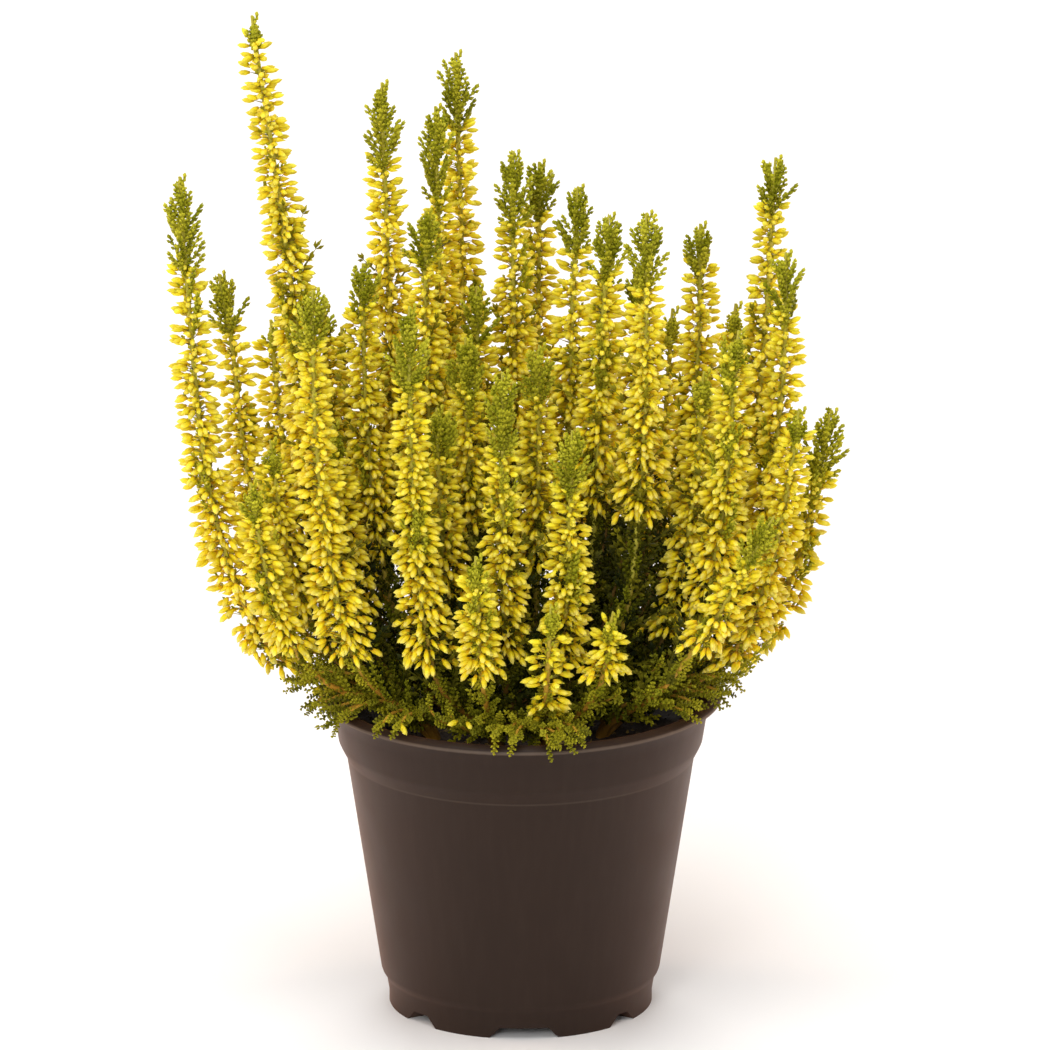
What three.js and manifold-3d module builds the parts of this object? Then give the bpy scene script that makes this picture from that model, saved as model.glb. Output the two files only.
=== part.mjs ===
/*
 * Potted heather: a yellow bud-flowering heather in a small round grower's pot.
 * Millimetres, +Z up. The origin is on the floor, under the middle of the pot.
 *
 * The pot is one turned shell with six feet. The growing medium fills it. Small
 * plants stand in plain holes in the medium: each is one crown with several
 * leafy shoots. A flower spike, a sleeve of buds, sits round each shoot below
 * its green tip.
 */
import * as THREE from 'three';
import { mergeVertices } from 'three/addons/utils/BufferGeometryUtils.js';
import Module from 'manifold-3d';

const wasm = await Module();
wasm.setup();

// ---------------------------------------------------------------- dimensions

const GAP = 0.3;                   // clearance between pieces that touch

// Pot: places on its outer outline are [radius, height]
const LIP_RADIUS = 55.2;
const LIP_TOP = 89.6;
const WALL_THICKNESS = 1.1;
const WALL_FOOT = [37.9, 5.8];     // the tapered wall, above the step of the base
const WALL_HEAD = [46.7, 68.2];
const BAND_FOOT = [49.0, 72.4];    // the nearly upright band under the lip
const BAND_HEAD = [50.2, 80.4];
const BASE_RADIUS = 36.1;
const FLOOR_EDGE = 35.6;           // where the floor meets the wall inside
const FOOT_HEIGHT = 3.0;
const FLOOR_UNDER = 4.2;           // underside of the pot's floor
const FLOOR_TOP = 5.4;
const BOSS_RADIUS = 7;             // low stud under the middle, level with the feet
const POT_SIDES = 32;
const FOOT_INNER = 29.5;
const FOOT_OUTER = 35.8;
const FOOT_SLOPE = 5;              // degrees that each end of a foot slopes in by
const FOOT_SINK = 0.7;             // how far a foot is let into the base ring
const DRAIN_RADIUS = 4;
const DRAIN_CIRCLE = 21;
const DRAIN_COUNT = 6;
const DRAIN_LENGTH = 8;
const DRAIN_SIDES = 8;

// Where the middle of each foot is round the base, and how far it runs at its
// top, in degrees: narrow feet at the front and back, wide ones at the sides.
const FEET = [
  [0, 72],
  [60, 38],
  [120, 38],
  [180, 72],
  [240, 38],
  [300, 38],
];

// Growing medium
const MEDIUM_TOP = 79;
const MEDIUM_SIDES = 20;
const MEDIUM_RINGS = 4;
const MEDIUM_LUMP = 1.4;           // height of the lumps on top
const MEDIUM_HOLLOW = 0.5;         // the lumps stand round this far under its top

// Crowns: the short woody stock that each small plant stands on
const CROWN_RADIUS = 2.6;
const CROWN_SIDES = 6;
const CROWN_FOOT = 60;
const CROWN_TOP = 83;
const CROWN_SHARE = 0.36;          // how far out it stands, as a share of its shoots' mean
const CROWN_TAPER = 0.8;
const HOLE_CLEAR = 0.4;            // between a crown and the hole it stands in
const HOLE_LENGTH = 40;

// Shoots
const STEM_RADIUS = 0.8;           // corner radius of the square stem inside a spike
const STEM_FOOT_RADIUS = 1.15;
const STEM_FOOT = 81;              // the stem starts inside its crown
const FAN_TOP = 98;                // below this the shoots of a crown draw together
const LEAF_START = 87;
const LEAF_RISE = 6.4;             // height between leafy twigs
const LEAF_REACH = 4.6;
const LEAF_LIFT = 3;
const TIP_RISE = 3.6;              // height between twigs of the green tip
const TIP_REACH = 5.6;
const TIP_LIFT = 3.2;
const TIP_POINT = 3;

// Flower spikes
const SPIKE_SIDES = 6;
const SPIKE_CORE = 3.1;
const BORE_RADIUS = 1.25;          // corner radius of the square bore round the stem
const BUD_RISE = 6.2;              // height between rings of buds
const BUD_REACH_LOW = 8.8;
const BUD_REACH_HIGH = 5.2;
const BUD_DROOP_LOW = -1.8;        // low buds hang, high ones lift
const BUD_LIFT_HIGH = 0.8;
const BUD_LAST_SHARE = 0.86;       // the lowest ring of buds hangs closer in
const SPIKE_GAP = 0.6;             // bare stem left above and below a spike
const ROOM_MARGIN = 0.55;          // kept free on each side between two shoots

// Sprays: low leafy twigs that lean out over the lip
const SPRAY_SIDES = 4;
const SPRAY_REACH = 2.6;
const SPRAY_CORE = 0.75;
const SPRAY_SAMPLES = 7;

// Height above the floor, and the share of its full spread that a shoot has
// reached there: the bush opens like a bowl and then stands upright.
const SPREAD = [
  [80, 0.38],
  [90, 0.56],
  [98, 0.72],
  [104, 0.78],
  [114, 0.84],
  [126, 0.89],
  [140, 0.93],
  [160, 0.97],
  [185, 1.0],
];

// The small plants. A shoot is
// [x, y, top, length of the green tip, bottom of the flower spike, lean at the top].
// A tall shoot leans only above the spread, a low one from where it leaves its plant.
const PLANTS = [
  {
    name: 'front_left',
    shoots: [
      [-56, -42, 215, 16, 110, 0],
      [-76, -34, 158, 10, 109, 0],
      [-52, -18, 170, 10, 118, 0],
    ],
  },
  {
    name: 'left',
    shoots: [
      [-89, -11, 238, 26, 105, -3.5],
      [-70, -10, 163, 9, 112, 0],
      [-79, 15, 203, 16, 106, -3.5],
      [-60, 8, 278, 8, 134, -13],
    ],
  },
  {
    name: 'back_left',
    shoots: [
      [-69, 42, 182, 8, 108, 0],
      [-54, 30, 189, 8, 128, 0],
      [-50, 56, 176, 9, 107, 0],
    ],
  },
  {
    name: 'middle_left',
    shoots: [
      [-43, 8, 208, 13, 128, 0],
      [-26, 18, 220, 15, 140, 0],
      [-36, 37, 251, 24, 140, -2],
    ],
  },
  {
    name: 'back',
    shoots: [
      [-22, 52, 240, 28, 132, -1.5],
      [-36, 68, 168, 10, 107, 0],
      [-16, 71, 250, 22, 110, -2],
    ],
  },
  {
    name: 'middle',
    shoots: [
      [-15, -6, 191, 15, 138, 0],
      [-23, -26, 177, 12, 120, 0],
      [5, -10, 190, 16, 128, 0],
    ],
  },
  {
    name: 'front',
    shoots: [
      [-30, -47, 212, 24, 104, 0],
      [-13, -62, 145, 9, 103, 0],
      [-5, -42, 192, 24, 105, 0],
    ],
  },
  {
    name: 'front_middle',
    shoots: [
      [9, -63, 131, 8, 91, 0],
      [14, -44, 176, 18, 107, 0],
      [28, -57, 127, 6, 101, 0],
    ],
  },
  {
    name: 'middle_back',
    shoots: [
      [-12, 30, 195, 16, 140, 0],
      [-2, 48, 228, 22, 137, 0],
      [14, 28, 224, 19, 135, 1.6],
      [5, 70, 219, 15, 110, 0],
    ],
  },
  {
    name: 'middle_right',
    shoots: [
      [22, 4, 223, 18, 140, 2],
      [34, -22, 231, 21, 145, 0],
    ],
  },
  {
    name: 'front_right',
    shoots: [
      [50, -8, 182, 10, 122, 0],
      [58, -26, 199, 9, 120, 1],
      [50, -46, 152, 14, 104, 21],
      [75, -20, 175, 9, 110, 1.5],
    ],
  },
  {
    name: 'right',
    shoots: [
      [72, -2, 214, 19, 112, 0],
      [86, 13, 165, 19, 99, 1],
      [67, 22, 234, 15, 118, 2.5],
      [49, 26, 214, 13, 130, 0],
    ],
  },
  {
    name: 'back_right',
    shoots: [
      [59, 44, 186, 8, 109, 0],
      [42, 60, 180, 9, 107, 0],
      [24, 70, 190, 10, 107, 0],
      [32, 44, 197, 12, 130, 0],
    ],
  },
];

// Sprays over the lip: the plant and the number of the shoot that each grows
// from, the height where it leaves, and [x, y, z] over the lip and at its end.
const SPRAYS = [
  ['front', 3, 88, [-5, -54, 95.5], [-8, -62, 90.5]],
  ['front_middle', 2, 86, [17, -52, 95], [21, -60, 90.5]],
  ['front', 1, 88, [-30, -47, 95.5], [-36, -54, 91]],
  ['left', 1, 89, [-57, -11, 98], [-61, -14, 87.5]],
  ['front_left', 1, 88, [-51, -29, 97.5], [-53, -34, 86]],
  ['right', 2, 89, [53, 6, 95.5], [61, 8, 95]],
  ['back', 3, 89, [-18, 53, 95.5], [-19, 62, 92]],
  ['back_right', 2, 89, [36, 41, 95.5], [43, 50, 93]],
];

// ----------------------------------------------------------------- materials

const finishes = {
  pot: new THREE.MeshStandardMaterial({ name: 'pot_plastic', color: 0x54463d, roughness: 0.55 }),
  medium: new THREE.MeshStandardMaterial({ name: 'growing_medium', color: 0x2a2018, roughness: 0.95 }),
  leaf: new THREE.MeshStandardMaterial({ name: 'heather_leaf', color: 0x6f7a22, roughness: 0.7 }),
  bud: new THREE.MeshStandardMaterial({ name: 'heather_bud', color: 0xdcbc32, roughness: 0.6 }),
};

// ------------------------------------------------------------- small helpers

const group = new THREE.Group();

function addPiece(name, geometry, material) {
  geometry.computeVertexNormals();
  const mesh = new THREE.Mesh(geometry, material);
  mesh.name = name;
  group.add(mesh);
}

// A seeded random number from 0 to 1.
let seed = 20261;
function draw() {
  seed = (seed * 16807) % 2147483647;
  return seed / 2147483647;
}

function toSolid(geometry) {
  const bare = geometry.clone();
  bare.deleteAttribute('normal');
  bare.deleteAttribute('uv');
  const merged = mergeVertices(bare, 1e-4);
  return new wasm.Manifold(new wasm.Mesh({
    numProp: 3,
    vertProperties: new Float32Array(merged.attributes.position.array),
    triVerts: new Uint32Array(merged.index.array),
  }));
}

function toGeometry(solid) {
  const { vertProperties, triVerts } = solid.getMesh();
  const geometry = new THREE.BufferGeometry();
  geometry.setAttribute('position', new THREE.BufferAttribute(vertProperties, 3));
  geometry.setIndex(new THREE.BufferAttribute(triVerts, 1));
  return geometry;
}

// Skins a stack of rings, each with the same number of corners. Where a corner
// stands out, the split of the four faces round it runs between its neighbours,
// so it becomes a pointed bud or twig. `out` says which corners stand out.
function loft(rings, out, foot, head) {
  const sides = rings[0].length;
  const points = rings.flat();
  const faces = [];
  const at = (ring, side) => ring * sides + (side % sides);
  for (let ring = 0; ring < rings.length - 1; ring += 1) {
    for (let side = 0; side < sides; side += 1) {
      const a = at(ring, side);
      const b = at(ring, side + 1);
      const c = at(ring + 1, side + 1);
      const d = at(ring + 1, side);
      if (out(ring, side)) {
        faces.push(a, b, d, b, c, d);
      } else {
        faces.push(a, b, c, a, c, d);
      }
    }
  }
  const last = rings.length - 1;
  const footIndex = points.push(foot) - 1;
  const headIndex = points.push(head) - 1;
  for (let side = 0; side < sides; side += 1) {
    faces.push(footIndex, at(0, side + 1), at(0, side));
    faces.push(headIndex, at(last, side), at(last, side + 1));
  }
  const geometry = new THREE.BufferGeometry().setFromPoints(points);
  geometry.setIndex(faces);
  return geometry;
}

function level(centre, radius, sides, turn) {
  return Array.from({ length: sides }, (_, side) => {
    const angle = turn + (2 * Math.PI * side) / sides;
    return new THREE.Vector3(
      centre.x + radius * Math.cos(angle),
      centre.y + radius * Math.sin(angle),
      centre.z,
    );
  });
}

// ----------------------------------------------------------------------- pot

// A place on the inside of the wall, some way in from one on its outside.
function inwards([radius, height], depth, rise) {
  return [radius - depth, height + rise];
}

function makePot() {
  const outer = [
    [0, 0],
    [BOSS_RADIUS, 0],
    [BOSS_RADIUS + 1, FLOOR_UNDER],
    [FOOT_INNER - 1, FLOOR_UNDER],
    [FOOT_INNER, FOOT_HEIGHT],
    [BASE_RADIUS, FOOT_HEIGHT],
    [BASE_RADIUS + 0.3, FOOT_HEIGHT + 0.6],
    WALL_FOOT,
    WALL_HEAD,
    BAND_FOOT,
    BAND_HEAD,
    [51.4, 84.0],
    [53.4, 86.0],
    [LIP_RADIUS, 87.0],
    [LIP_RADIUS, 88.6],
    [54.4, LIP_TOP],
  ];
  const inner = [
    [53.2, LIP_TOP],
    [51.2, 87.6],
    [49.9, 84.8],
    inwards(BAND_HEAD, WALL_THICKNESS, 0.2),
    inwards(BAND_FOOT, WALL_THICKNESS, 0.6),
    inwards(WALL_HEAD, WALL_THICKNESS, 0.4),
    inwards(WALL_FOOT, WALL_THICKNESS, 0.8),
    [FLOOR_EDGE, FLOOR_TOP],
    [0, FLOOR_TOP],
  ];
  const profile = [...outer, ...inner].map(([radius, height]) => new THREE.Vector2(radius, height));
  const shell = new THREE.LatheGeometry(profile, POT_SIDES);
  shell.rotateX(Math.PI / 2);
  let pot = toSolid(shell);
  for (const [middle, run] of FEET) {
    pot = pot.add(toSolid(makeFoot(middle, run)));
  }
  for (let drain = 0; drain < DRAIN_COUNT; drain += 1) {
    pot = pot.subtract(toSolid(makeDrain((drain + 0.5) * 2 * Math.PI / DRAIN_COUNT)));
  }
  addPiece('pot', toGeometry(pot), finishes.pot);
}

// A foot is a short stretch of ring whose ends slope in towards the floor.
function makeFoot(middle, run) {
  const turn = THREE.MathUtils.degToRad(middle);
  const half = THREE.MathUtils.degToRad(run / 2);
  const outline = new THREE.Shape();
  outline.absarc(0, 0, FOOT_OUTER, -half, half, false);
  outline.absarc(0, 0, FOOT_INNER + 0.6, half, -half, true);
  outline.closePath();
  const foot = new THREE.ExtrudeGeometry(outline, {
    depth: FOOT_HEIGHT + FOOT_SINK,
    bevelEnabled: false,
    curveSegments: Math.round(run / 10),
  });
  const place = foot.attributes.position;
  for (let i = 0; i < place.count; i += 1) {
    const radius = Math.hypot(place.getX(i), place.getY(i));
    const narrow = place.getZ(i) < 0.01 ? 1 - 2 * FOOT_SLOPE / run : 1;
    const angle = Math.atan2(place.getY(i), place.getX(i)) * narrow + turn;
    place.setXY(i, radius * Math.cos(angle), radius * Math.sin(angle));
  }
  return foot;
}

function makeDrain(turn) {
  const drain = new THREE.CylinderGeometry(DRAIN_RADIUS, DRAIN_RADIUS, DRAIN_LENGTH, DRAIN_SIDES);
  drain.rotateX(Math.PI / 2);
  drain.translate(DRAIN_CIRCLE * Math.cos(turn), DRAIN_CIRCLE * Math.sin(turn), FLOOR_UNDER);
  return drain;
}

// ------------------------------------------------------------------- medium

function makeMedium(crowns) {
  const wallClear = WALL_THICKNESS + GAP;
  const edge = BAND_FOOT[0] + 0.6 - wallClear;
  const profile = [
    [0, FLOOR_TOP + GAP],
    [FLOOR_EDGE - 2 * GAP, FLOOR_TOP + GAP],
    inwards(WALL_FOOT, wallClear, 1.2),
    inwards(WALL_HEAD, wallClear, 0.6),
    inwards(BAND_FOOT, wallClear, 1.0),
    [edge, MEDIUM_TOP - 1.5],
  ];
  for (let ring = MEDIUM_RINGS; ring > 0; ring -= 1) {
    const share = (ring - 0.4) / MEDIUM_RINGS;
    profile.push([share * edge, MEDIUM_TOP - MEDIUM_HOLLOW]);
  }
  profile.push([0, MEDIUM_TOP - MEDIUM_HOLLOW]);
  const curve = profile.map(([radius, height]) => new THREE.Vector2(radius, height));
  const shape = new THREE.LatheGeometry(curve, MEDIUM_SIDES);
  shape.rotateX(Math.PI / 2);
  const place = shape.attributes.position;
  for (let i = 0; i < place.count; i += 1) {
    const x = place.getX(i);
    const y = place.getY(i);
    const lump = Math.sin(x * 0.83 + 1.1) * Math.cos(y * 0.71 - 0.4);
    if (place.getZ(i) > MEDIUM_TOP - 1) place.setZ(i, place.getZ(i) + MEDIUM_LUMP * lump);
  }
  let medium = toSolid(shape);
  for (const crown of crowns) {
    const radius = CROWN_RADIUS + HOLE_CLEAR;
    const hole = new THREE.CylinderGeometry(radius, radius, HOLE_LENGTH, CROWN_SIDES);
    hole.rotateX(Math.PI / 2);
    hole.translate(crown.x, crown.y, CROWN_FOOT - GAP + HOLE_LENGTH / 2);
    medium = medium.subtract(toSolid(hole));
  }
  addPiece('growing_medium', toGeometry(medium), finishes.medium);
}

// -------------------------------------------------------------- shoot places

function shareAt(height) {
  const above = SPREAD.findIndex(([z]) => z > height);
  if (above === -1) return 1;
  if (above === 0) return SPREAD[0][1];
  const [z0, share0] = SPREAD[above - 1];
  const [z1, share1] = SPREAD[above];
  return THREE.MathUtils.mapLinear(height, z0, z1, share0, share1);
}

function centreAt(shoot, height) {
  const spreadEnd = SPREAD[SPREAD.length - 1][0];
  const upright = shoot.top > spreadEnd ? spreadEnd : FAN_TOP;
  const share = shareAt(Math.max(height, FAN_TOP));
  const centre = new THREE.Vector3(shoot.x * share, shoot.y * share, height);
  if (height > upright) {
    centre.x += shoot.lean * (height - upright) / (shoot.top - upright);
  }
  if (height < FAN_TOP) {
    const fan = THREE.MathUtils.clamp((height - STEM_FOOT) / (FAN_TOP - STEM_FOOT), 0, 1);
    centre.x = THREE.MathUtils.lerp(shoot.crown.x, centre.x, fan);
    centre.y = THREE.MathUtils.lerp(shoot.crown.y, centre.y, fan);
  }
  return centre;
}

// The heights of the bends that a shoot has between two heights.
function bendsBetween(low, high) {
  return SPREAD.map(([z]) => z).filter((z) => z > low + 0.5 && z < high - 0.5 && z >= FAN_TOP);
}

// How far a bud or twig may reach at a height: half way to the next shoot.
function roomAt(shoot, height, shoots) {
  const centre = centreAt(shoot, height);
  let room = Infinity;
  for (const other of shoots) {
    if (other === shoot || other.top < height - 2) continue;
    const reachable = centreAt(other, height).distanceTo(centre) / 2 - ROOM_MARGIN;
    room = Math.min(room, reachable);
  }
  return room;
}

function readPlants() {
  return PLANTS.map((plant) => {
    const shoots = plant.shoots.map(([x, y, top, tip, bottom, lean]) => ({ x, y, top, tip, bottom, lean }));
    const crown = new THREE.Vector2(0, 0);
    for (const shoot of shoots) {
      crown.x += shoot.x * CROWN_SHARE / shoots.length;
      crown.y += shoot.y * CROWN_SHARE / shoots.length;
    }
    for (const shoot of shoots) {
      shoot.crown = crown;
      shoot.turn = draw() * Math.PI;
    }
    return { name: plant.name, crown, shoots };
  });
}

// ------------------------------------------------------------- leafy stems

// One shoot's stem: bare in its crown, leafy twigs below the spike, bare inside
// the spike, and a feathery green tip above it.
function makeStem(shoot, shoots) {
  const rings = [];
  const spikeTop = shoot.top - shoot.tip;
  const addRing = (height, radius, reach, lift) => {
    const ring = level(centreAt(shoot, height), radius, 4, shoot.turn);
    const odd = rings.length % 2;
    if (reach > radius) {
      const wide = level(centreAt(shoot, height), reach, 4, shoot.turn);
      for (let side = odd; side < 4; side += 2) {
        ring[side].copy(wide[side]);
        ring[side].z += lift;
      }
    }
    rings.push(ring);
  };
  addRing(STEM_FOOT, STEM_FOOT_RADIUS, 0, 0);
  const leafEnd = shoot.bottom - SPIKE_GAP - LEAF_LIFT;
  const leafRings = Math.max(1, Math.round((leafEnd - LEAF_START) / LEAF_RISE));
  for (let i = 0; i < leafRings; i += 1) {
    const height = THREE.MathUtils.lerp(LEAF_START, leafEnd, i / leafRings);
    const reach = Math.min(LEAF_REACH * (0.8 + 0.3 * draw()), roomAt(shoot, height + LEAF_LIFT, shoots));
    addRing(height, STEM_FOOT_RADIUS, reach, LEAF_LIFT);
  }
  const bareLow = shoot.bottom - SPIKE_GAP - 1.5;
  const bareHigh = spikeTop + SPIKE_GAP;
  for (const height of [bareLow, ...bendsBetween(bareLow, bareHigh), bareHigh]) {
    addRing(height, STEM_RADIUS, 0, 0);
  }
  const tipRings = Math.max(2, Math.round((shoot.tip - TIP_POINT) / TIP_RISE));
  for (let i = 1; i <= tipRings; i += 1) {
    const share = i / tipRings;
    const height = THREE.MathUtils.lerp(bareHigh, shoot.top - TIP_POINT - 1, share);
    const full = Math.sin(Math.PI * Math.min(1, 0.28 + 0.62 * share));
    const reach = Math.min(TIP_REACH * full * (0.85 + 0.3 * draw()), roomAt(shoot, height, shoots));
    addRing(height, STEM_RADIUS, Math.max(reach, 1.6), TIP_LIFT * (1 - 0.4 * share));
  }
  const foot = centreAt(shoot, STEM_FOOT - 0.5);
  const head = centreAt(shoot, shoot.top);
  return loft(rings, (ring, side) => (ring + side) % 2 === 0, foot, head);
}

// A low leafy twig that leaves its plant and leans out over the lip.
function makeSpray(start, over, end) {
  const curve = new THREE.QuadraticBezierCurve3(
    start, new THREE.Vector3(...over), new THREE.Vector3(...end));
  const rings = [];
  for (let i = 0; i < SPRAY_SAMPLES; i += 1) {
    const share = i / SPRAY_SAMPLES;
    const centre = curve.getPoint(share);
    const along = curve.getTangent(share);
    const side = new THREE.Vector3(-along.y, along.x, 0).normalize();
    const up = new THREE.Vector3().crossVectors(along, side).normalize();
    const ring = [];
    for (let corner = 0; corner < SPRAY_SIDES; corner += 1) {
      const angle = (2 * Math.PI * corner) / SPRAY_SIDES;
      const stands = i > 1 && (corner + i) % 2 === 0;
      const reach = stands ? SPRAY_REACH * (1 - 0.4 * share) : SPRAY_CORE;
      const point = centre.clone();
      point.addScaledVector(side, reach * Math.cos(angle));
      point.addScaledVector(up, reach * Math.sin(angle));
      if (stands) point.addScaledVector(along, 2);
      ring.push(point);
    }
    rings.push(ring);
  }
  return loft(rings, (ring, corner) => (ring + corner) % 2 === 0, curve.getPoint(0), curve.getPoint(1));
}

function makeLeafyPlant(plant, shoots) {
  const crown = new THREE.CylinderGeometry(
    CROWN_RADIUS * CROWN_TAPER, CROWN_RADIUS, CROWN_TOP - CROWN_FOOT, CROWN_SIDES);
  crown.rotateX(Math.PI / 2);
  crown.translate(plant.crown.x, plant.crown.y, (CROWN_TOP + CROWN_FOOT) / 2);
  let whole = toSolid(crown);
  for (const shoot of plant.shoots) {
    whole = whole.add(toSolid(makeStem(shoot, shoots)));
  }
  for (const [name, number, height, over, end] of SPRAYS) {
    if (name !== plant.name) continue;
    const start = centreAt(plant.shoots[number - 1], height);
    whole = whole.add(toSolid(makeSpray(start, over, end)));
  }
  addPiece(`leafy_stems_${plant.name}`, toGeometry(whole), finishes.leaf);
}

// ------------------------------------------------------------ flower spikes

// A spike is a slim sleeve whose every other corner stands out as a bud. Its
// bore follows the bends of the stem inside it.
function makeSpike(shoot, shoots, name) {
  const top = shoot.top - shoot.tip;
  const count = Math.max(4, Math.round((top - shoot.bottom) / BUD_RISE));
  const rings = [];
  const turn = draw() * Math.PI;
  for (let ring = 0; ring <= count; ring += 1) {
    const share = ring / count;
    const height = THREE.MathUtils.lerp(shoot.bottom, top, share);
    const corners = level(centreAt(shoot, height), SPIKE_CORE, SPIKE_SIDES, turn);
    const inside = ring > 0 && ring < count;
    const hang = ring === 1 ? BUD_LAST_SHARE : 1;
    const full = hang * THREE.MathUtils.lerp(BUD_REACH_LOW, BUD_REACH_HIGH, share);
    const room = roomAt(shoot, height, shoots);
    for (let side = ring % 2; inside && side < SPIKE_SIDES; side += 2) {
      const reach = Math.min(full * (0.88 + 0.2 * draw()), room);
      const bud = level(centreAt(shoot, height), reach, SPIKE_SIDES, turn)[side];
      bud.z += THREE.MathUtils.lerp(BUD_DROOP_LOW, BUD_LIFT_HIGH, share);
      corners[side].copy(bud);
    }
    rings.push(corners);
  }
  const stands = (ring, side) => (ring + side) % 2 === 0;
  const foot = centreAt(shoot, shoot.bottom);
  const head = centreAt(shoot, top);
  const body = toSolid(loft(rings, stands, foot, head));
  const low = shoot.bottom - 2;
  const high = top + 2;
  const boreRings = [low, ...bendsBetween(low, high), high].map(
    (height) => level(centreAt(shoot, height), BORE_RADIUS, 4, shoot.turn));
  const bore = toSolid(loft(boreRings, () => true, centreAt(shoot, low), centreAt(shoot, high)));
  addPiece(name, toGeometry(body.subtract(bore)), finishes.bud);
}

// -------------------------------------------------------------------- build

const plants = readPlants();
const allShoots = plants.flatMap((plant) => plant.shoots);

makePot();
makeMedium(plants.map((plant) => plant.crown));
for (const plant of plants) {
  makeLeafyPlant(plant, allShoots);
}
for (const plant of plants) {
  plant.shoots.forEach((shoot, index) => {
    makeSpike(shoot, allShoots, `flower_spike_${plant.name}_${index + 1}`);
  });
}

export default group;
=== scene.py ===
import math
from types import SimpleNamespace

import bmesh
import bpy
import numpy as np
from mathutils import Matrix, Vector, noise


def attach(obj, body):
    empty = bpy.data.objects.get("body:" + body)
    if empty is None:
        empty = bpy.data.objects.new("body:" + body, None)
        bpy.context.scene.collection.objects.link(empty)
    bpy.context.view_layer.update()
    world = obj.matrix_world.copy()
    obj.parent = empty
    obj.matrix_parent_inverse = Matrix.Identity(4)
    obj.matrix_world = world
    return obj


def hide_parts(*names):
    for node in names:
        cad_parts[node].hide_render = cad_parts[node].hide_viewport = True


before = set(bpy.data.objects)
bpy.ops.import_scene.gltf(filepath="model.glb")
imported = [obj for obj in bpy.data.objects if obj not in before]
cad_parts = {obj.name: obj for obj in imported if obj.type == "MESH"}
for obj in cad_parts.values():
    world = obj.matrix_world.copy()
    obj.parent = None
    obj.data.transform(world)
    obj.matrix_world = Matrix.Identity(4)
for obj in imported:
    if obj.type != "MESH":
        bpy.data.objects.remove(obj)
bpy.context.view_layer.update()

# ---------------------------------------------------------------- dimensions

MM = 0.001
rng = np.random.default_rng(20261)

# Camera: degrees above level, and metres
VIEW_RISE = 17.1
VIEW_DISTANCE = 5.0
VIEW_AIM = Vector((0.0012, 0, 0.1359))
VIEW_WIDTH = 0.2867                  # what the frame takes in at the pot
SENSOR = 36                          # mm
FLOOR_SIZE = 12

# Lamps, in metres and watts: name, place, target, width, power, colour
LAMPS = [
    ("top_light", (-0.1, -0.35, 1.5), (0, 0, 0.12), 1.0, 11, "#ffffff"),
    ("front_light", (-0.35, -1.6, 0.8), (0, 0, 0.12), 0.8, 13, "#ffffff"),
    ("left_edge_light", (-1.1, 0.3, 0.3), (0, 0, 0.12), 0.6, 6.5, "#ffdcc4"),
    ("right_edge_light", (1.1, 0.3, 0.3), (0, 0, 0.12), 0.6, 5.5, "#ffdcc4"),
    ("backdrop_light", (0, 2.2, 1.8), (0, 2.0, 0), 2.0, 45, "#ffffff"),
]

# Pot, in millimetres: [radius, height] up the outside, over the lip and down
# the inside
POT_SIDES = 120
POT_OUTLINE = [
    (7.0, 0), (8.0, 4.2), (28.5, 4.2), (29.4, 3.0), (36.1, 3.0), (36.8, 7.2),
    (37.3, 8.2), (38.0, 9.3), (38.3, 10.2), (47.6, 70.6), (48.0, 71.5), (49.3, 74.0),
    (49.9, 75.4), (51.0, 82.4), (51.6, 84.4), (52.2, 86.0), (52.8, 87.1), (54.5, 87.2),
    (55.2, 87.4), (55.4, 87.9), (55.3, 88.3), (54.7, 88.95), (53.1, 89.6), (52.6, 89.5),
    (52.2, 88.9), (51.5, 87.0), (50.3, 84.0), (49.4, 81.0), (48.4, 75.6), (46.0, 70.4),
    (36.8, 9.8), (35.4, 7.6), (34.6, 5.4), (6.0, 5.4),
]
FOOT_HEIGHT = 3.0
FEET = [(0, 72), (60, 38), (120, 38), (180, 72), (243, 38), (299, 36)]   # degrees: middle, run
FOOT_SLOPE = 5                       # degrees that each end slopes in by
DRAIN_RADIUS = 4
DRAIN_CIRCLE = 21
DRAIN_COUNT = 6
DRAIN_LENGTH = 8                     # of the punch that cuts it, and the height of its middle
DRAIN_HEIGHT = 4.8
LIP_TOP = 89.6
LIP_REACH = (45, 57)                 # between these radii the twigs end over the lip,
LIP_CLEAR = 1.5                      # at least this far above it
LIP_HIGHLIGHT_RADII = (55.1, 55.35)           # a painted highlight lightens the lip's outermost edge here
SEAM_HEIGHT = 70.9
SEAM_HIGHLIGHT_REACH = (0.45, 0.15)           # and a painted highlight lies along the seam this close to its middle

# Growing medium, in millimetres
MEDIUM_SIDES = 96
MEDIUM_OUTLINE = [
    (34.2, 5.8), (35.0, 7.8), (36.2, 10.2), (45.2, 69.6), (47.2, 74.6), (47.9, 77.8), (47.2, 78.6),
]
MEDIUM_TOP = 78.6
MEDIUM_RINGS = 22
CRUMB_COUNT = 450
CRUMB_SIZES = (0.5, 2.2)
LITTER_COUNT = 260
LITTER_LENGTHS = (1.5, 4.5)
LITTER_WIDTHS = (0.6, 1.4)
COARSE_LUMPS = (7, 1.3)              # width, height
FINE_LUMPS = (2.4, 0.6)

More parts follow.
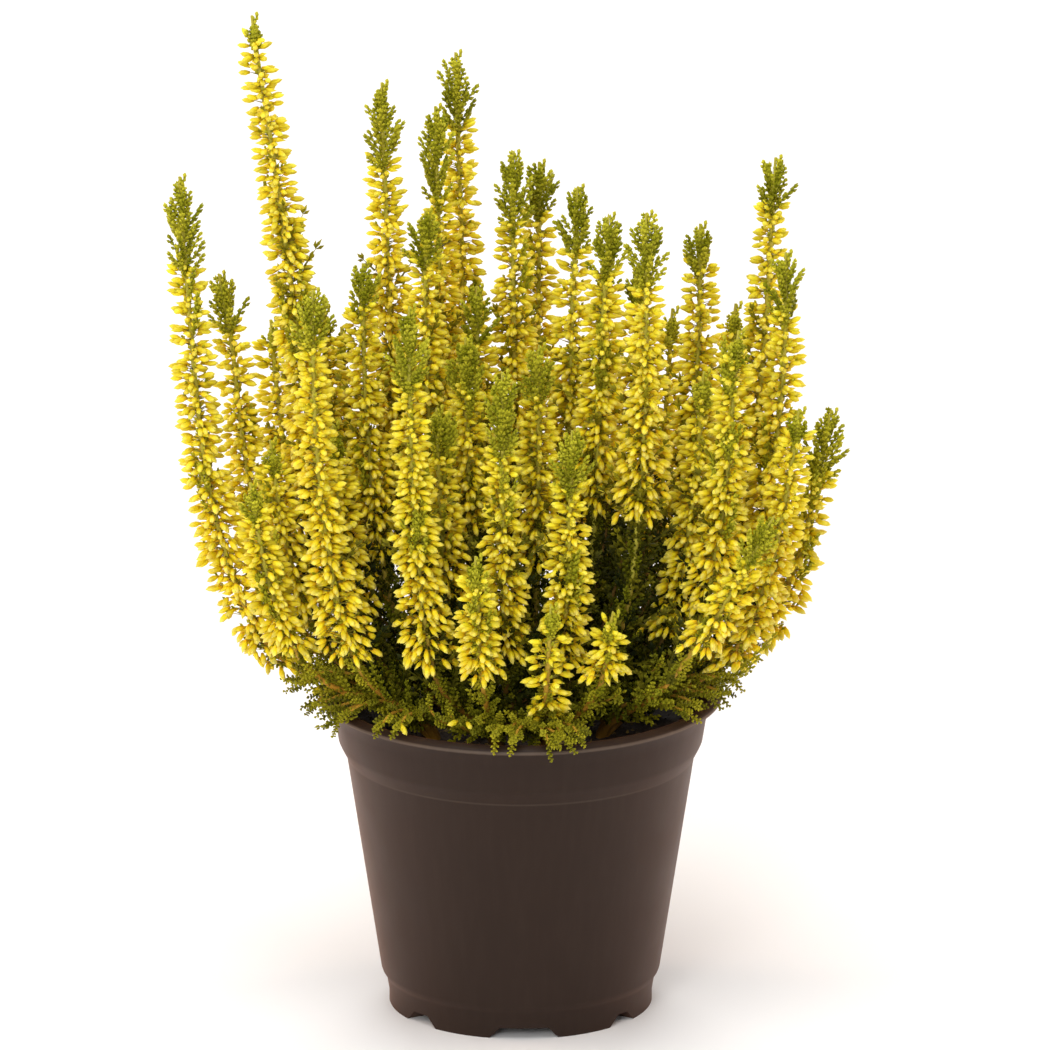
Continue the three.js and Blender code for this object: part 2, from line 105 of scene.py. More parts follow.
# Shoots, in millimetres
CROWN_FOOT = 62
STEM_FOOT = 81                       # the shoots of a crown part here
FAN_TOP = 98                         # and reach their own places here
PATH_STEP = 3.5
STEM_SIZES = [(CROWN_FOOT, 2.4), (80, 1.4), (86, 0.95), (104, 0.75)]   # height, radius
STEM_UNDER_SPIKE = (108, 0.8)        # no lower than this height
STEM_IN_SPIKE = 0.62
STEM_AT_TIP = 0.3
DRAWN_IN, DRAWN_IN_FADE = 0.28, 28   # how far in the shoots stand at the fan's top
READ_LEVELS = 12                     # a spike's reach is read at this many heights
READ_BAND = 6.5                      # each takes in the corners this near to it
TIP_SEARCH = 9                       # a green tip stands this near to its spike's line
WOODY_TOP, WOODY_FADE = 128, 32      # bark is green above and brown this far below
STEM_SHADE_TOP, STEM_SHADE_FADE = 125, 20          # painted shade darkens stems inside the bush below this height, fading in over this rise

# Leafy twigs, in millimetres
TIP_TWIG = SimpleNamespace(long=6, pairs=7, opening=32, bend=1.3, leaf=(1.5, 1.1), swell=(0.8, 1.1, 0.9))
LOW_TWIG = SimpleNamespace(long=9, pairs=8, opening=44, bend=1.5, leaf=(1.6, 1.2), swell=(0.9, 1.1, 0.7))
INNER_TWIG = SimpleNamespace(long=10, pairs=4, opening=40, bend=0.8, leaf=(3.0, 1.5), swell=(0.9, 1, 0.7))
LOW_TWIG_START = 83
LOW_TWIG_PAST = 9                    # they climb this far into the spike
LOW_TWIG_SPACING = 2.75
LOW_TWIG_LENGTHS = (9.5, 4.5)        # at the crown, in the spike
INNER_TWIG_LENGTHS = (8, 13)
INNER_TWIG_SPACING = 3.4
INNER_TWIG_END = 0.64                # share of the spike's height that they climb
INNER_TWIG_DEPTH = 0.4               # how deep in the bush they end, of 1
INNER_TWIG_SHADE_TOP, INNER_TWIG_SHADE_RISE = 125, 60   # painted dark as shade below this height, and lighter over this rise as painted golden shade
BARK_LEAF_START = 84
BARK_LEAF_SPACING = 1.4
BUD_LEAF_SPACING = 1.7               # on the stem inside a spike
STEM_LEAF = (2.0, 1.2)               # length, width
STEM_LEAF_OPENING = 24
TUFT_SPACING = 40                    # one green tuft for this much of a spike
TUFT_TWIGS = 6
SPRAY_SAMPLES = 14
SPRAY_RADII = (0.65, 0.35)           # at its start, at its end
SPRAY_DEPTH = 0.3                    # those that end deeper bear inner twigs
SPRAY_TWIG_SPACING = 4.4
SPRAY_TWIG_LENGTHS = (8.5, 5.0)
BARE_MIDDLE, BARE_RADIUS, BARE_TOP = (24, -27), 16, 89   # no twig grows low down here
TIP_START = 2.5                      # a green tip's twigs start this far below the spike's top
TIP_STOP = 6                         # and stop this far below its own
TIP_TWIGS_EACH_MM = 1.5
TIP_TWIGS_LEAST = 9
TIP_TWIG_LENGTHS = (5.5, 8.5)
TIP_FULL = 15                        # a shorter green tip has smaller twigs
TIP_SIZE_LEAST = 0.4
TIP_END = 7.5                        # the twig that ends a green tip
GOLDEN_TURN = 2.4                    # radians from one twig of a tip to the next
BUSH_WIDE, BUSH_DEEP = 84, 68        # half its width and depth where it is fully spread
LIT_SHARE = 0.4                      # depth into the bush, and the painted shade that follows it, grows over this outer share of the bush
INSIDE_PAINTED_SHADE = 0.95                    # painted shade takes at most this share of a leaf's tone deep in the bush
TIP_HEIGHT_MOST = 34                 # no green tip is longer than this
TIP_SWELL = [(0.0, 0.85), (0.3, 1.15), (0.7, 0.95), (1.0, 0.65)]

# Flower buds, in millimetres: [share of half width, share of length], and by
# share of the spike's height
BUD_OUTLINE = [(0.42, 0.0), (1.0, 0.36), (0.84, 0.74), (0.25, 1.0)]
BUD_SIDES = 5
WHORL_RISE = 2.45
BUD_COUNT = [(0.0, 9.2), (0.3, 8.8), (0.7, 7.6), (1.0, 5.6)]
INNER_BUD_COUNT = [(0.0, 7), (0.3, 6.5), (0.7, 4.5), (1.0, 2)]
BUD_LENGTH = [(0.0, 3.7), (0.3, 4.0), (1.0, 3.6)]
BUD_WIDTH = [(0.0, 1.6), (0.3, 1.8), (1.0, 1.55)]
BUD_PITCH = [(0.0, -48), (0.08, -32), (0.3, -16), (0.7, -4), (1.0, 14)]  # degrees above level
BUD_SPREAD = [(0.0, 0.9), (0.35, 0.7), (0.7, 0.42), (1.0, 0.36)]         # radians round the stem
SPARSE = {"front_middle_1": 0.5}     # the share of its buds that a spike keeps
FOOT_SHIFT = {                       # how much higher a spike's lowest buds stand
    "front_right_3": 10, "front_right_1": -14, "front_right_4": -9, "left_1": -6,
    "front_1": 5, "front_2": 7, "front_3": 4, "front_middle_3": 7,
}

# Leafy sprays, in millimetres, by plant: [where it leaves the plant, the point
# that it arches towards, its end]. Some lean out over the lip. The others
# stand in the bush and close it, their twigs painted dark as shade there
SPRAYS = {
    "front": [
        ((-6, -24, 84), (-5, -48, 97), (-7, -56, 93.5)), ((-8, -24, 84), (-9, -43, 94), (-11, -50, 95)),
        ((-9, -24, 84), (-15, -42, 89), (-19, -47, 96)), ((-11, -23, 84), (-21, -39, 89), (-25, -43, 97.5)),
    ],
    "front_middle": [
        ((3, -26, 84), (0, -46, 97), (-3, -54, 94.5)), ((4, -26, 84), (1, -49, 98), (-2, -57, 92.5)),
        ((5, -26, 84), (4, -50, 98), (8, -57.5, 91.5)), ((5, -26, 84), (3, -49, 97), (13, -56.5, 92)),
        ((7, -26, 84), (9, -48, 97), (11, -55.5, 93.5)), ((8, -26, 84), (12, -49, 98), (16, -56, 93.5)),
        ((12, -22, 84), (20, -30, 94), (26, -38, 99)),
    ],
    "front_left": [
        ((-25, -15, 84), (-33, -38, 99), (-38, -46, 93)), ((-24, -15, 84), (-29, -40, 98), (-33, -47, 93.5)),
        ((-26, -13, 84), (-38, -28, 99), (-47, -33, 92.5)), ((-26, -14, 84), (-41, -24, 97), (-51, -28, 92)),
        ((-27, -12, 84), (-44, -20, 104), (-57, -25, 101)),
        ((-27, -12, 84), (-43, -27, 98), (-50.5, -33, 90.5)),
        ((-27, -12, 84), (-45, -21, 99), (-54, -25, 92.5)),
        ((-26, -12, 84), (-40, -14, 98), (-52, -14, 110)),
    ],
    "left": [
        ((-30, -3, 84), (-47, -16, 99), (-56, -21, 91.5)), ((-30, -2, 84), (-49, -11, 99), (-60, -15, 95)),
        ((-31, 0, 84), (-49, -5, 98), (-61, -8, 93.5)), ((-31, 0, 86), (-52, -4, 106), (-66, -6, 100)),
        ((-31, 4, 84), (-50, 8, 98), (-62, 12, 96)), ((-30, 0, 84), (-44, 0, 96), (-55, 0, 106)),
        ((-30, 4, 84), (-42, 10, 100), (-52, 14, 112)),
    ],
    "right": [
        ((29, 6, 84), (48, 6, 97), (59, 6, 97)), ((29, 3, 84), (47, -4, 97), (58, -8, 95)),
        ((29, 3, 86), (48, -8, 103), (61, -12, 101)), ((29, 3, 84), (46, -8, 96), (55, -13, 92)),
        ((29, 3, 84), (46, -2, 96), (56, -3, 92.5)), ((27, 6, 84), (40, 10, 100), (45, 14, 122)),
        ((29, 4, 84), (43, 2, 98), (51, 4, 116)), ((27, 8, 84), (38, 16, 96), (44, 24, 112)),
        ((29, 6, 84), (40, 14, 94), (46, 20, 106)), ((29, 4, 84), (42, 2, 94), (50, 4, 104)),
    ],
    "front_right": [
        ((30, -12, 88), (40, -20, 96), (47, -25, 93)), ((30, -11, 88), (42, -16, 96), (52, -20, 93.5)),
        ((32, -10, 90), (44, -16, 100), (54, -18, 98)), ((27, -10, 86), (36, -16, 96), (42, -24, 98)),
        ((26, -10, 85), (38, -22, 94), (45, -31, 92)), ((22, -13, 84), (29, -22, 92), (34, -30, 97)),
        ((23, -12, 84), (32, -18, 96), (38, -26, 104)),
    ],
    "middle_right": [
        ((14, 0, 84), (26, 2, 112), (30, 4, 136)), ((15, 2, 84), (34, 6, 104), (42, 8, 128)),
        ((14, 2, 84), (20, 14, 110), (24, 22, 130)), ((14, 2, 84), (26, 8, 100), (33, 12, 118)),
        ((14, 0, 84), (24, 4, 96), (30, 8, 106)), ((13, 2, 84), (18, 10, 96), (21, 16, 112)),
        ((13, 2, 84), (7, 8, 100), (3, 12, 118)),
    ],
    "back_right": [
        ((16, 18, 84), (30, 20, 106), (37, 18, 134)), ((14, 17, 84), (24, 24, 110), (24, 26, 138)),
        ((17, 20, 84), (35, 26, 100), (41, 30, 122)), ((17, 20, 84), (29, 34, 98), (37, 42, 114)),
        ((15, 22, 84), (20, 34, 100), (24, 38, 130)), ((16, 22, 84), (27, 34, 98), (34, 38, 128)),
        ((17, 21, 84), (32, 30, 96), (40, 36, 131)), ((14, 22, 84), (15, 34, 98), (17, 40, 127)),
        ((16, 24, 84), (24, 38, 98), (26, 43, 125)), ((18, 22, 84), (33, 36, 96), (38, 42, 122)),
        ((15, 20, 84), (18, 30, 96), (21, 33, 112)), ((16, 19, 84), (26, 28, 96), (32, 32, 112)),
        ((17, 20, 84), (30, 26, 92), (38, 30, 102)), ((26, 30, 88), (36, 41, 97), (42, 47, 92)),
    ],
    "middle_left": [
        ((-15, 9, 84), (-28, 12, 100), (-36, 14, 118)), ((-16, 8, 84), (-30, 8, 97), (-41, 8, 110)),
    ],
    "back": [
        ((-13, 40, 88), (-18, 52, 97), (-19, 59, 91)),
    ],
    "back_left": [
        ((-32, 28, 88), (-42, 37, 97), (-47, 42, 92)),
    ],
}
STRAY_TWIGS = [                      # thin ones past the lip: plant, start, end
    ("front_left", (-45, -29, 91.5), (-56.5, -31, 93.5)),
    ("front_left", (-45, -32, 91), (-55, -35, 88)),
    ("front_right", (59, -23, 101), (70, -27, 112)),
    ("front_right", (57, -23, 97), (65.5, -27, 105.5)),
]
STRAY_BUDS = [                       # single low buds: plant, place, the way it points
    ("front_left", (-32.5, -47.5, 94), (0.4, -0.6, -0.6)),
    ("front", (-17, -48, 95), (-0.7, -0.6, -0.1)),
    ("front", (-14.5, -49, 95), (0.3, -0.9, -0.2)),
    ("left", (-55, -14, 94), (-0.4, -0.7, -0.5)),
]


# ------------------------------------------------------------- small helpers

def deselect_all():
    if bpy.context.object and bpy.context.object.mode == "EDIT":
        bpy.ops.object.mode_set(mode="OBJECT")
    bpy.ops.object.select_all(action="DESELECT")


def lookup(table, share):
    """A value read between the rows of a table of (share, value)."""
    return np.interp(share, [row[0] for row in table], [row[1] for row in table])


def unit(vectors):
    lengths = np.linalg.norm(vectors, axis=-1, keepdims=True)
    return vectors / np.maximum(lengths, 1e-9)


def raise_turned(sides, outline):
    """A closed turned shape: a cylinder whose top face is drawn on, ring by ring."""
    (first_radius, first_height), (next_radius, next_height) = outline[:2]
    deselect_all()
    bpy.ops.mesh.primitive_cylinder_add(
        vertices=sides, radius=first_radius, depth=next_height - first_height,
        location=(0, 0, (first_height + next_height) / 2))
    bpy.ops.object.transform_apply(location=True)
    shape = bpy.context.object
    bpy.ops.object.mode_set(mode="EDIT")
    bpy.ops.mesh.select_all(action="DESELECT")
    faces = bmesh.from_edit_mesh(shape.data).faces
    top = max(faces, key=lambda face: face.calc_center_median().z)
    top.select_set(True)
    radius, height = first_radius, next_height
    resize_ring(next_radius / radius, height)
    radius = next_radius
    for wide, high in outline[2:]:
        bpy.ops.mesh.extrude_region_move(TRANSFORM_OT_translate={"value": (0, 0, high - height)})
        resize_ring(wide / radius, high)
        radius, height = wide, high
    return shape


def resize_ring(factor, height):
    bpy.ops.transform.resize(value=(factor, factor, 1), center_override=(0, 0, height))


def close_top(shape):
    bpy.ops.mesh.merge(type="CENTER")
    bpy.ops.mesh.select_all(action="SELECT")
    bpy.ops.mesh.normals_make_consistent(inside=False)
    bpy.ops.object.mode_set(mode="OBJECT")
    return shape


def finish_piece(piece, name, node, materials):
    piece.name = name
    piece.data.name = name
    for material in materials:
        piece.data.materials.append(material)
    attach(piece, "root")
    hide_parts(node)
    return piece


# ----------------------------------------------- shapes copied many times over

def take_shape(source, along=None, smooth=False):
    """Takes a modelled shape's corners and faces and removes its object."""
    mesh = source.data
    corners = np.empty(len(mesh.vertices) * 3)
    mesh.vertices.foreach_get("co", corners)
    corners = corners.reshape(-1, 3)
    loops = np.empty(len(mesh.loops), dtype=np.int64)
    mesh.loops.foreach_get("vertex_index", loops)
    sizes = np.empty(len(mesh.polygons), dtype=np.int64)
    mesh.polygons.foreach_get("loop_total", sizes)
    bpy.data.objects.remove(source)
    if along is None:
        along = corners[:, 2]
    return SimpleNamespace(corners=corners, loops=loops, sizes=sizes, along=along, smooth=smooth)


OWN, BARK, OTHER = 0, 1, 2           # a piece's finishes: its buds' or leaves', its stems', the rest


class Bunch:
    """Copies of modelled shapes, gathered into one mesh with a few attributes."""

    def __init__(self):
        self.parts = []
        self.corner_count = 0

    def add(self, shape, origins, directions, uppers, lengths, widths, tones, ages, finish=OWN):
        """Each copy runs from its origin along its direction, with its back to its upper."""
        origins = np.atleast_2d(origins)
        count = len(origins)
        if not count:
            return
        forward = unit(np.broadcast_to(directions, (count, 3)).astype(float))
        side = unit(np.cross(np.broadcast_to(uppers, (count, 3)), forward))
        upper = np.cross(forward, side)
        lengths = np.broadcast_to(lengths, count)[:, None, None]
        widths = np.broadcast_to(widths, count)[:, None, None]
        x, y, z = (shape.corners[None, :, k, None] for k in range(3))
        placed = (origins[:, None] + x * widths * side[:, None]
                  + y * widths * upper[:, None] + z * lengths * forward[:, None])
        self.keep(shape, placed.reshape(-1, 3), count, tones, ages, finish)

    def keep(self, shape, corners, count, tones, ages, finish):
        size = len(shape.corners)
        starts = self.corner_count + np.arange(count) * size
        self.parts.append(SimpleNamespace(
            corners=corners,
            loops=(shape.loops[None] + starts[:, None]).ravel(),
            sizes=np.tile(shape.sizes, count),
            along=np.tile(shape.along, count),
            tone=np.repeat(np.broadcast_to(tones, count), size),
            age=np.repeat(np.broadcast_to(ages, count), size),
            finish=np.full(count * len(shape.sizes), finish),
            smooth=np.full(count * len(shape.sizes), shape.smooth)))
        self.corner_count += len(corners)

    def build(self, name):
        def joined(key):
            return np.concatenate([getattr(part, key) for part in self.parts])
        mesh = bpy.data.meshes.new(name)
        mesh.vertices.add(self.corner_count)
        mesh.vertices.foreach_set("co", joined("corners").ravel())
        loops = joined("loops")
        mesh.loops.add(len(loops))
        mesh.loops.foreach_set("vertex_index", loops)
        sizes = joined("sizes")
        mesh.polygons.add(len(sizes))
        mesh.polygons.foreach_set("loop_start", np.concatenate([[0], np.cumsum(sizes)[:-1]]))
        mesh.polygons.foreach_set("material_index", joined("finish"))
        mesh.polygons.foreach_set("use_smooth", joined("smooth"))
        # each copy's tone: its own random tone, lowered as painted shade deep in the bush and raised as
        # painted light on covered inner buds
        for key in ("along", "tone", "age"):
            values = mesh.attributes.new(name=key, type="FLOAT", domain="POINT")
            values.data.foreach_set("value", joined(key))
        mesh.update(calc_edges=True)
        piece = bpy.data.objects.new(name, mesh)
        bpy.context.scene.collection.objects.link(piece)
        return piece


def model_bud():
    """One closed bud, a unit long and a unit in half width: plump at its foot, drawn to a point."""
    bud = raise_turned(BUD_SIDES, BUD_OUTLINE)
    close_top(bud)
    return take_shape(bud, smooth=True)


def model_inner_bud():
    """A bud that others cover, with no more faces than it shows."""
    bud = raise_turned(4, [(0.45, 0.0), (1.0, 0.4), (0.2, 1.0)])
    close_top(bud)
    return take_shape(bud, smooth=True)


def model_leaf():
    """One scale leaf, a unit long: plump, keeled and pointed, its foot in its twig."""
    deselect_all()
    bpy.ops.mesh.primitive_cone_add(vertices=3, radius1=0.5, depth=0.45, location=(0, 0, 0.775))
    bpy.ops.object.transform_apply(location=True)
    leaf = bpy.context.object
    bpy.ops.object.mode_set(mode="EDIT")
    bpy.ops.mesh.select_all(action="DESELECT")
    foot = min(bmesh.from_edit_mesh(leaf.data).faces, key=lambda face: face.calc_center_median().z)
    foot.select_set(True)
    bpy.ops.mesh.extrude_region_move(TRANSFORM_OT_translate={"value": (0, 0, -0.55)})
    return take_shape(close_top(leaf))


def model_stalk():
    """A thin stalk, a unit long, that ends in a point inside what it carries."""
    deselect_all()
    bpy.ops.mesh.primitive_cone_add(vertices=3, radius1=1, depth=1, location=(0, 0, 0.5))
    bpy.ops.object.transform_apply(location=True)
    return take_shape(bpy.context.object, smooth=True)


def model_twig(leaf, stalk, kind):
    """A twig of scale leaves in crossed pairs, in millimetres, that curves up as it grows."""
    twig = Bunch()
    heights = np.linspace(0.04, 0.93, kind.pairs)
    turns = np.arange(kind.pairs) * math.pi / 2
    opening = math.radians(kind.opening)
    middles = np.stack([0 * heights, kind.bend * heights ** 2, heights * kind.long], axis=1)
    slope = unit(np.stack([0 * heights, 2 * kind.bend * heights, 0 * heights + kind.long], axis=1))
    length, width = np.array(kind.leaf)[:, None] * np.interp(heights, (0, 0.6, 1), kind.swell)
    for half in (0, math.pi):
        around = np.stack([np.cos(turns + half), np.sin(turns + half), 0 * turns], axis=1)
        leaning = slope * math.cos(opening) + around * math.sin(opening)
        twig.add(leaf, middles, leaning, around, length, width, tones=0.5, ages=0)
    ends = np.array([[0, 0, -0.6], [0, 0.25 * kind.bend, kind.long / 2], [0, kind.bend, kind.long]])
    for start, end in zip(ends[:-1], ends[1:]):
        twig.add(stalk, start, end - start, (0, 1, 0), np.linalg.norm(end - start) + 1.0, 0.36,
                 tones=0.5, ages=0)
    twig.add(leaf, ends[-1] - (0, 0, 0.7), ends[-1] - ends[-2], (0, 1, 0), length[-1] * 1.2, width[-1],
             tones=0.5, ages=0)
    return take_shape(twig.build("twig"), along=np.concatenate([p.along for p in twig.parts]))


# --------------------------------------------------- the layout, off the frame

def corners_of(node):
    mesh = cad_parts[node].data
    corners = np.empty(len(mesh.vertices) * 3)
    mesh.vertices.foreach_get("co", corners)
    return corners.reshape(-1, 3)


def spread_at(height):
    """How much of its full spread a shoot has reached: the bush opens like a bowl."""
    return 1 - DRAWN_IN * np.exp(-(height - FAN_TOP * MM) / (DRAWN_IN_FADE * MM))


def read_shoot(spike):
    """A shoot's path and its flower spike's reach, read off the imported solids."""
    name = spike.removeprefix("flower_spike_")
    plant = name.rsplit("_", 1)[0]
    corners = corners_of(spike)
    stems = corners_of("leafy_stems_" + plant)
    heights = corners[:, 2]
    foot, top = heights.min(), heights.max()
    fits = [np.polyfit(heights, corners[:, k], 3) for k in (0, 1)]

    def middle(height):
        return np.stack([np.polyval(fit, height) for fit in fits], axis=-1)

    out = np.linalg.norm(corners[:, :2] - middle(heights), axis=1)
    levels = np.linspace(foot, top, READ_LEVELS)
    reach = [out[abs(heights - level) < READ_BAND * MM].max() for level in levels]
    near = np.linalg.norm(stems[:, :2] - middle(top), axis=1) < TIP_SEARCH * MM
    near &= stems[:, 2] < top + TIP_HEIGHT_MOST * MM
    tip = max(stems[near], key=lambda corner: corner[2])
    crown = stems[stems[:, 2] < stems[:, 2].min() + MM][:, :2].mean(axis=0)
    shoot = SimpleNamespace(
        spike=spike, name=name, plant=plant, foot=foot, top=top, tip=tip, crown=crown,
        reach_at=lambda height: np.interp(height, levels, reach))
    shoot.path = draw_path(shoot, middle)
    shoot.foot += FOOT_SHIFT.get(name, 0) * MM
    return shoot


def draw_path(shoot, middle):
    """The shoot's line from its crown to its green tip, with its bends eased."""
    heights = np.arange(CROWN_FOOT * MM, shoot.tip[2], PATH_STEP * MM)
    heights = np.append(heights, shoot.tip[2])
    own = np.maximum(heights, FAN_TOP * MM)
    low = np.minimum(own, shoot.foot)
    flat = middle(np.clip(own, shoot.foot, shoot.top))
    flat = flat * (spread_at(low) / spread_at(shoot.foot))[:, None]
    fan = np.clip((heights - STEM_FOOT * MM) / ((FAN_TOP - STEM_FOOT) * MM), 0, 1)[:, None]
    flat = shoot.crown * (1 - fan) + flat * fan
    green = np.clip((heights - shoot.top) / (shoot.tip[2] - shoot.top), 0, 1)[:, None]
    flat = flat * (1 - green) + shoot.tip[:2] * green
    for _ in range(3):
        flat[1:-1] = (flat[:-2] + 2 * flat[1:-1] + flat[2:]) / 4
    return np.column_stack([flat, heights])


def point_at(shoot, height):
    """Points on a shoot's line, and the way it grows there."""
    heights = shoot.path[:, 2]
    slopes = np.gradient(shoot.path, axis=0)
    point = [np.interp(height, heights, shoot.path[:, k]) for k in range(3)]
    slope = [np.interp(height, heights, slopes[:, k]) for k in range(3)]
    return np.stack(point, axis=-1), unit(np.stack(slope, axis=-1))


# ------------------------------------------------------------------ materials

def paint(colour):
    """An sRGB hex colour as the linear one that a shader takes."""
    parts = [int(colour[k:k + 2], 16) / 255 for k in (1, 3, 5)]
    linear = [part / 12.92 if part <= 0.04045 else ((part + 0.055) / 1.055) ** 2.4 for part in parts]
    return (*linear, 1)


def add_node(tree, kind, inputs=None, **settings):
    """Adds a node with its settings. An input is a value or the socket that feeds it."""
    node = tree.nodes.new("ShaderNode" + kind)
    for key, value in settings.items():
        setattr(node, key, value)
    for key, value in (inputs or {}).items():
        if isinstance(value, bpy.types.NodeSocket):
            tree.links.new(value, node.inputs[key])
        else:
            node.inputs[key].default_value = value
    return node


FACTOR, FIRST, SECOND, MIXED = 0, 6, 7, 2      # sockets of a Mix node that mixes colours


def start_material(name):
    material = bpy.data.materials.new(name)
    material.use_nodes = True
    tree = material.node_tree
    shader = tree.nodes["Principled BSDF"]
    return material, tree, shader


def calyx_material():
    """Heather calyx: thin waxy sepals, a soft sheen and light glowing through."""
    material, tree, shader = start_material("waxy_calyx")
    along, tone, age = (add_node(tree, "Attribute", attribute_name=name).outputs["Fac"]
                        for name in ("along", "tone", "age"))
    # the bud's foot is partly its own colour, deepened to orange-gold as painted golden shade between buds
    body, tip, base = (
        add_node(tree, "Mix", {FACTOR: age, FIRST: paint(young), SECOND: paint(old)}, data_type="RGBA")
        for young, old in (("#e9d726", "#edd41a"), ("#efde48", "#f2e378"), ("#d2ae12", "#dca612")))
    at_tip = add_node(tree, "MapRange", {"Value": along, "From Min": 0.5, "From Max": 1.0})
    at_shaded_foot = add_node(tree, "MapRange", {"Value": along, "From Min": 0.34, "From Max": 0.0})
    upper = add_node(tree, "Mix", {FACTOR: at_tip.outputs[0], FIRST: body.outputs[MIXED],
                                   SECOND: tip.outputs[MIXED]}, data_type="RGBA")
    whole = add_node(tree, "Mix", {FACTOR: at_shaded_foot.outputs[0], FIRST: upper.outputs[MIXED],
                                   SECOND: base.outputs[MIXED]}, data_type="RGBA")
    place = add_node(tree, "TexCoord").outputs["Object"]
    mottle = add_node(tree, "TexNoise", {"Vector": place, "Scale": 1 / (1.4 * MM), "Detail": 2})
    # brightness by tone: random on outer buds, raised on covered inner buds as painted light
    value = add_node(tree, "MapRange", {"Value": tone, "To Min": 0.8, "To Max": 1.12})
    hue = add_node(tree, "MapRange", {"Value": mottle.outputs["Fac"], "To Min": 0.486, "To Max": 0.512})
    varied = add_node(tree, "HueSaturation", {"Color": whole.outputs[MIXED], "Hue": hue.outputs[0],
                                              "Value": value.outputs[0]})
    tree.links.new(varied.outputs["Color"], shader.inputs["Base Color"])
    shader.inputs["Roughness"].default_value = 0.5
    shader.inputs["Specular IOR Level"].default_value = 0.2
    shader.inputs["Subsurface Weight"].default_value = 0.35
    shader.inputs["Subsurface Radius"].default_value = (1.0, 0.88, 0.15)
    shader.inputs["Subsurface Scale"].default_value = 1.2 * MM
    return material


def scale_leaf_material():
    """Scale leaves: small, leathery and matt, yellower at their points and on young twigs."""
    material, tree, shader = start_material("scale_leaf")
    along, tone, age = (add_node(tree, "Attribute", attribute_name=name).outputs["Fac"]
                        for name in ("along", "tone", "age"))
    young = add_node(tree, "Mix", {FACTOR: tone, FIRST: paint("#898b12"), SECOND: paint("#c3be32")},
                     data_type="RGBA")
    # the dark end of the old leaves' range is painted shade for twigs deep in the bush
    old = add_node(tree, "Mix", {FACTOR: tone, FIRST: paint("#1e2404"), SECOND: paint("#aaa01e")},
                   data_type="RGBA")
    blade = add_node(tree, "Mix", {FACTOR: age, FIRST: young.outputs[MIXED], SECOND: old.outputs[MIXED]},
                     data_type="RGBA")
    bright = add_node(tree, "MapRange", {"Value": along, "From Min": 0.2, "From Max": 1.0,
                                         "To Min": 0.7, "To Max": 1.3})
    pointed = add_node(tree, "HueSaturation", {"Color": blade.outputs[MIXED], "Value": bright.outputs[0]})
    tree.links.new(pointed.outputs["Color"], shader.inputs["Base Color"])
    shader.inputs["Roughness"].default_value = 0.6
    shader.inputs["Specular IOR Level"].default_value = 0.1
    return material


def bark_material():
    """Young heather bark: thin, fibrous and golden brown, green where it is this year's."""
    material, tree, shader = start_material("heather_bark")
    age = add_node(tree, "Attribute", attribute_name="age").outputs["Fac"]
    place = add_node(tree, "TexCoord").outputs["Object"]
    stretched = add_node(tree, "Mapping", {"Vector": place, "Scale": (1, 1, 0.22)})
    fibre = add_node(tree, "TexNoise", {"Vector": stretched.outputs[0], "Scale": 1 / (0.7 * MM),
                                        "Detail": 3})
    woody = add_node(tree, "Mix", {FACTOR: fibre.outputs["Fac"], FIRST: paint("#9e6408"),
                                   SECOND: paint("#e0a428")}, data_type="RGBA")
    green = add_node(tree, "Mix", {FACTOR: fibre.outputs["Fac"], FIRST: paint("#97952a"),
                                   SECOND: paint("#c9bb3c")}, data_type="RGBA")
    bark = add_node(tree, "Mix", {FACTOR: age, FIRST: green.outputs[MIXED],
                                  SECOND: woody.outputs[MIXED]}, data_type="RGBA")
    # painted shade: stems deep in the bush get a darker value here
    tone = add_node(tree, "Attribute", attribute_name="tone").outputs["Fac"]
    value = add_node(tree, "MapRange", {"Value": tone, "To Min": 0.25, "To Max": 1.0})
    shaded = add_node(tree, "HueSaturation", {"Color": bark.outputs[MIXED], "Value": value.outputs[0]})
    bump = add_node(tree, "Bump", {"Height": fibre.outputs["Fac"], "Strength": 0.5,
                                   "Distance": 0.15 * MM})
    tree.links.new(shaded.outputs["Color"], shader.inputs["Base Color"])
    tree.links.new(bump.outputs[0], shader.inputs["Normal"])
    shader.inputs["Roughness"].default_value = 0.7
    return material


def peat_material():
    """Peat: dark, damp and fibrous, dull with a few paler threads."""
    material, tree, shader = start_material("damp_peat")
    tone = add_node(tree, "Attribute", attribute_name="tone").outputs["Fac"]
    place = add_node(tree, "TexCoord").outputs["Object"]
    grain = add_node(tree, "TexNoise", {"Vector": place, "Scale": 1 / (1.1 * MM), "Detail": 4})
    dark = add_node(tree, "Mix", {FACTOR: grain.outputs["Fac"], FIRST: paint("#130e0a"),
                                  SECOND: paint("#43352a")}, data_type="RGBA")
    pale = add_node(tree, "Mix", {FACTOR: tone, FIRST: dark.outputs[MIXED], SECOND: paint("#8a7238")},
                    data_type="RGBA")
    bump = add_node(tree, "Bump", {"Height": grain.outputs["Fac"], "Strength": 0.9,
                                   "Distance": 0.5 * MM})
    tree.links.new(pale.outputs[MIXED], shader.inputs["Base Color"])
    tree.links.new(bump.outputs[0], shader.inputs["Normal"])
    shader.inputs["Roughness"].default_value = 0.85
    return material


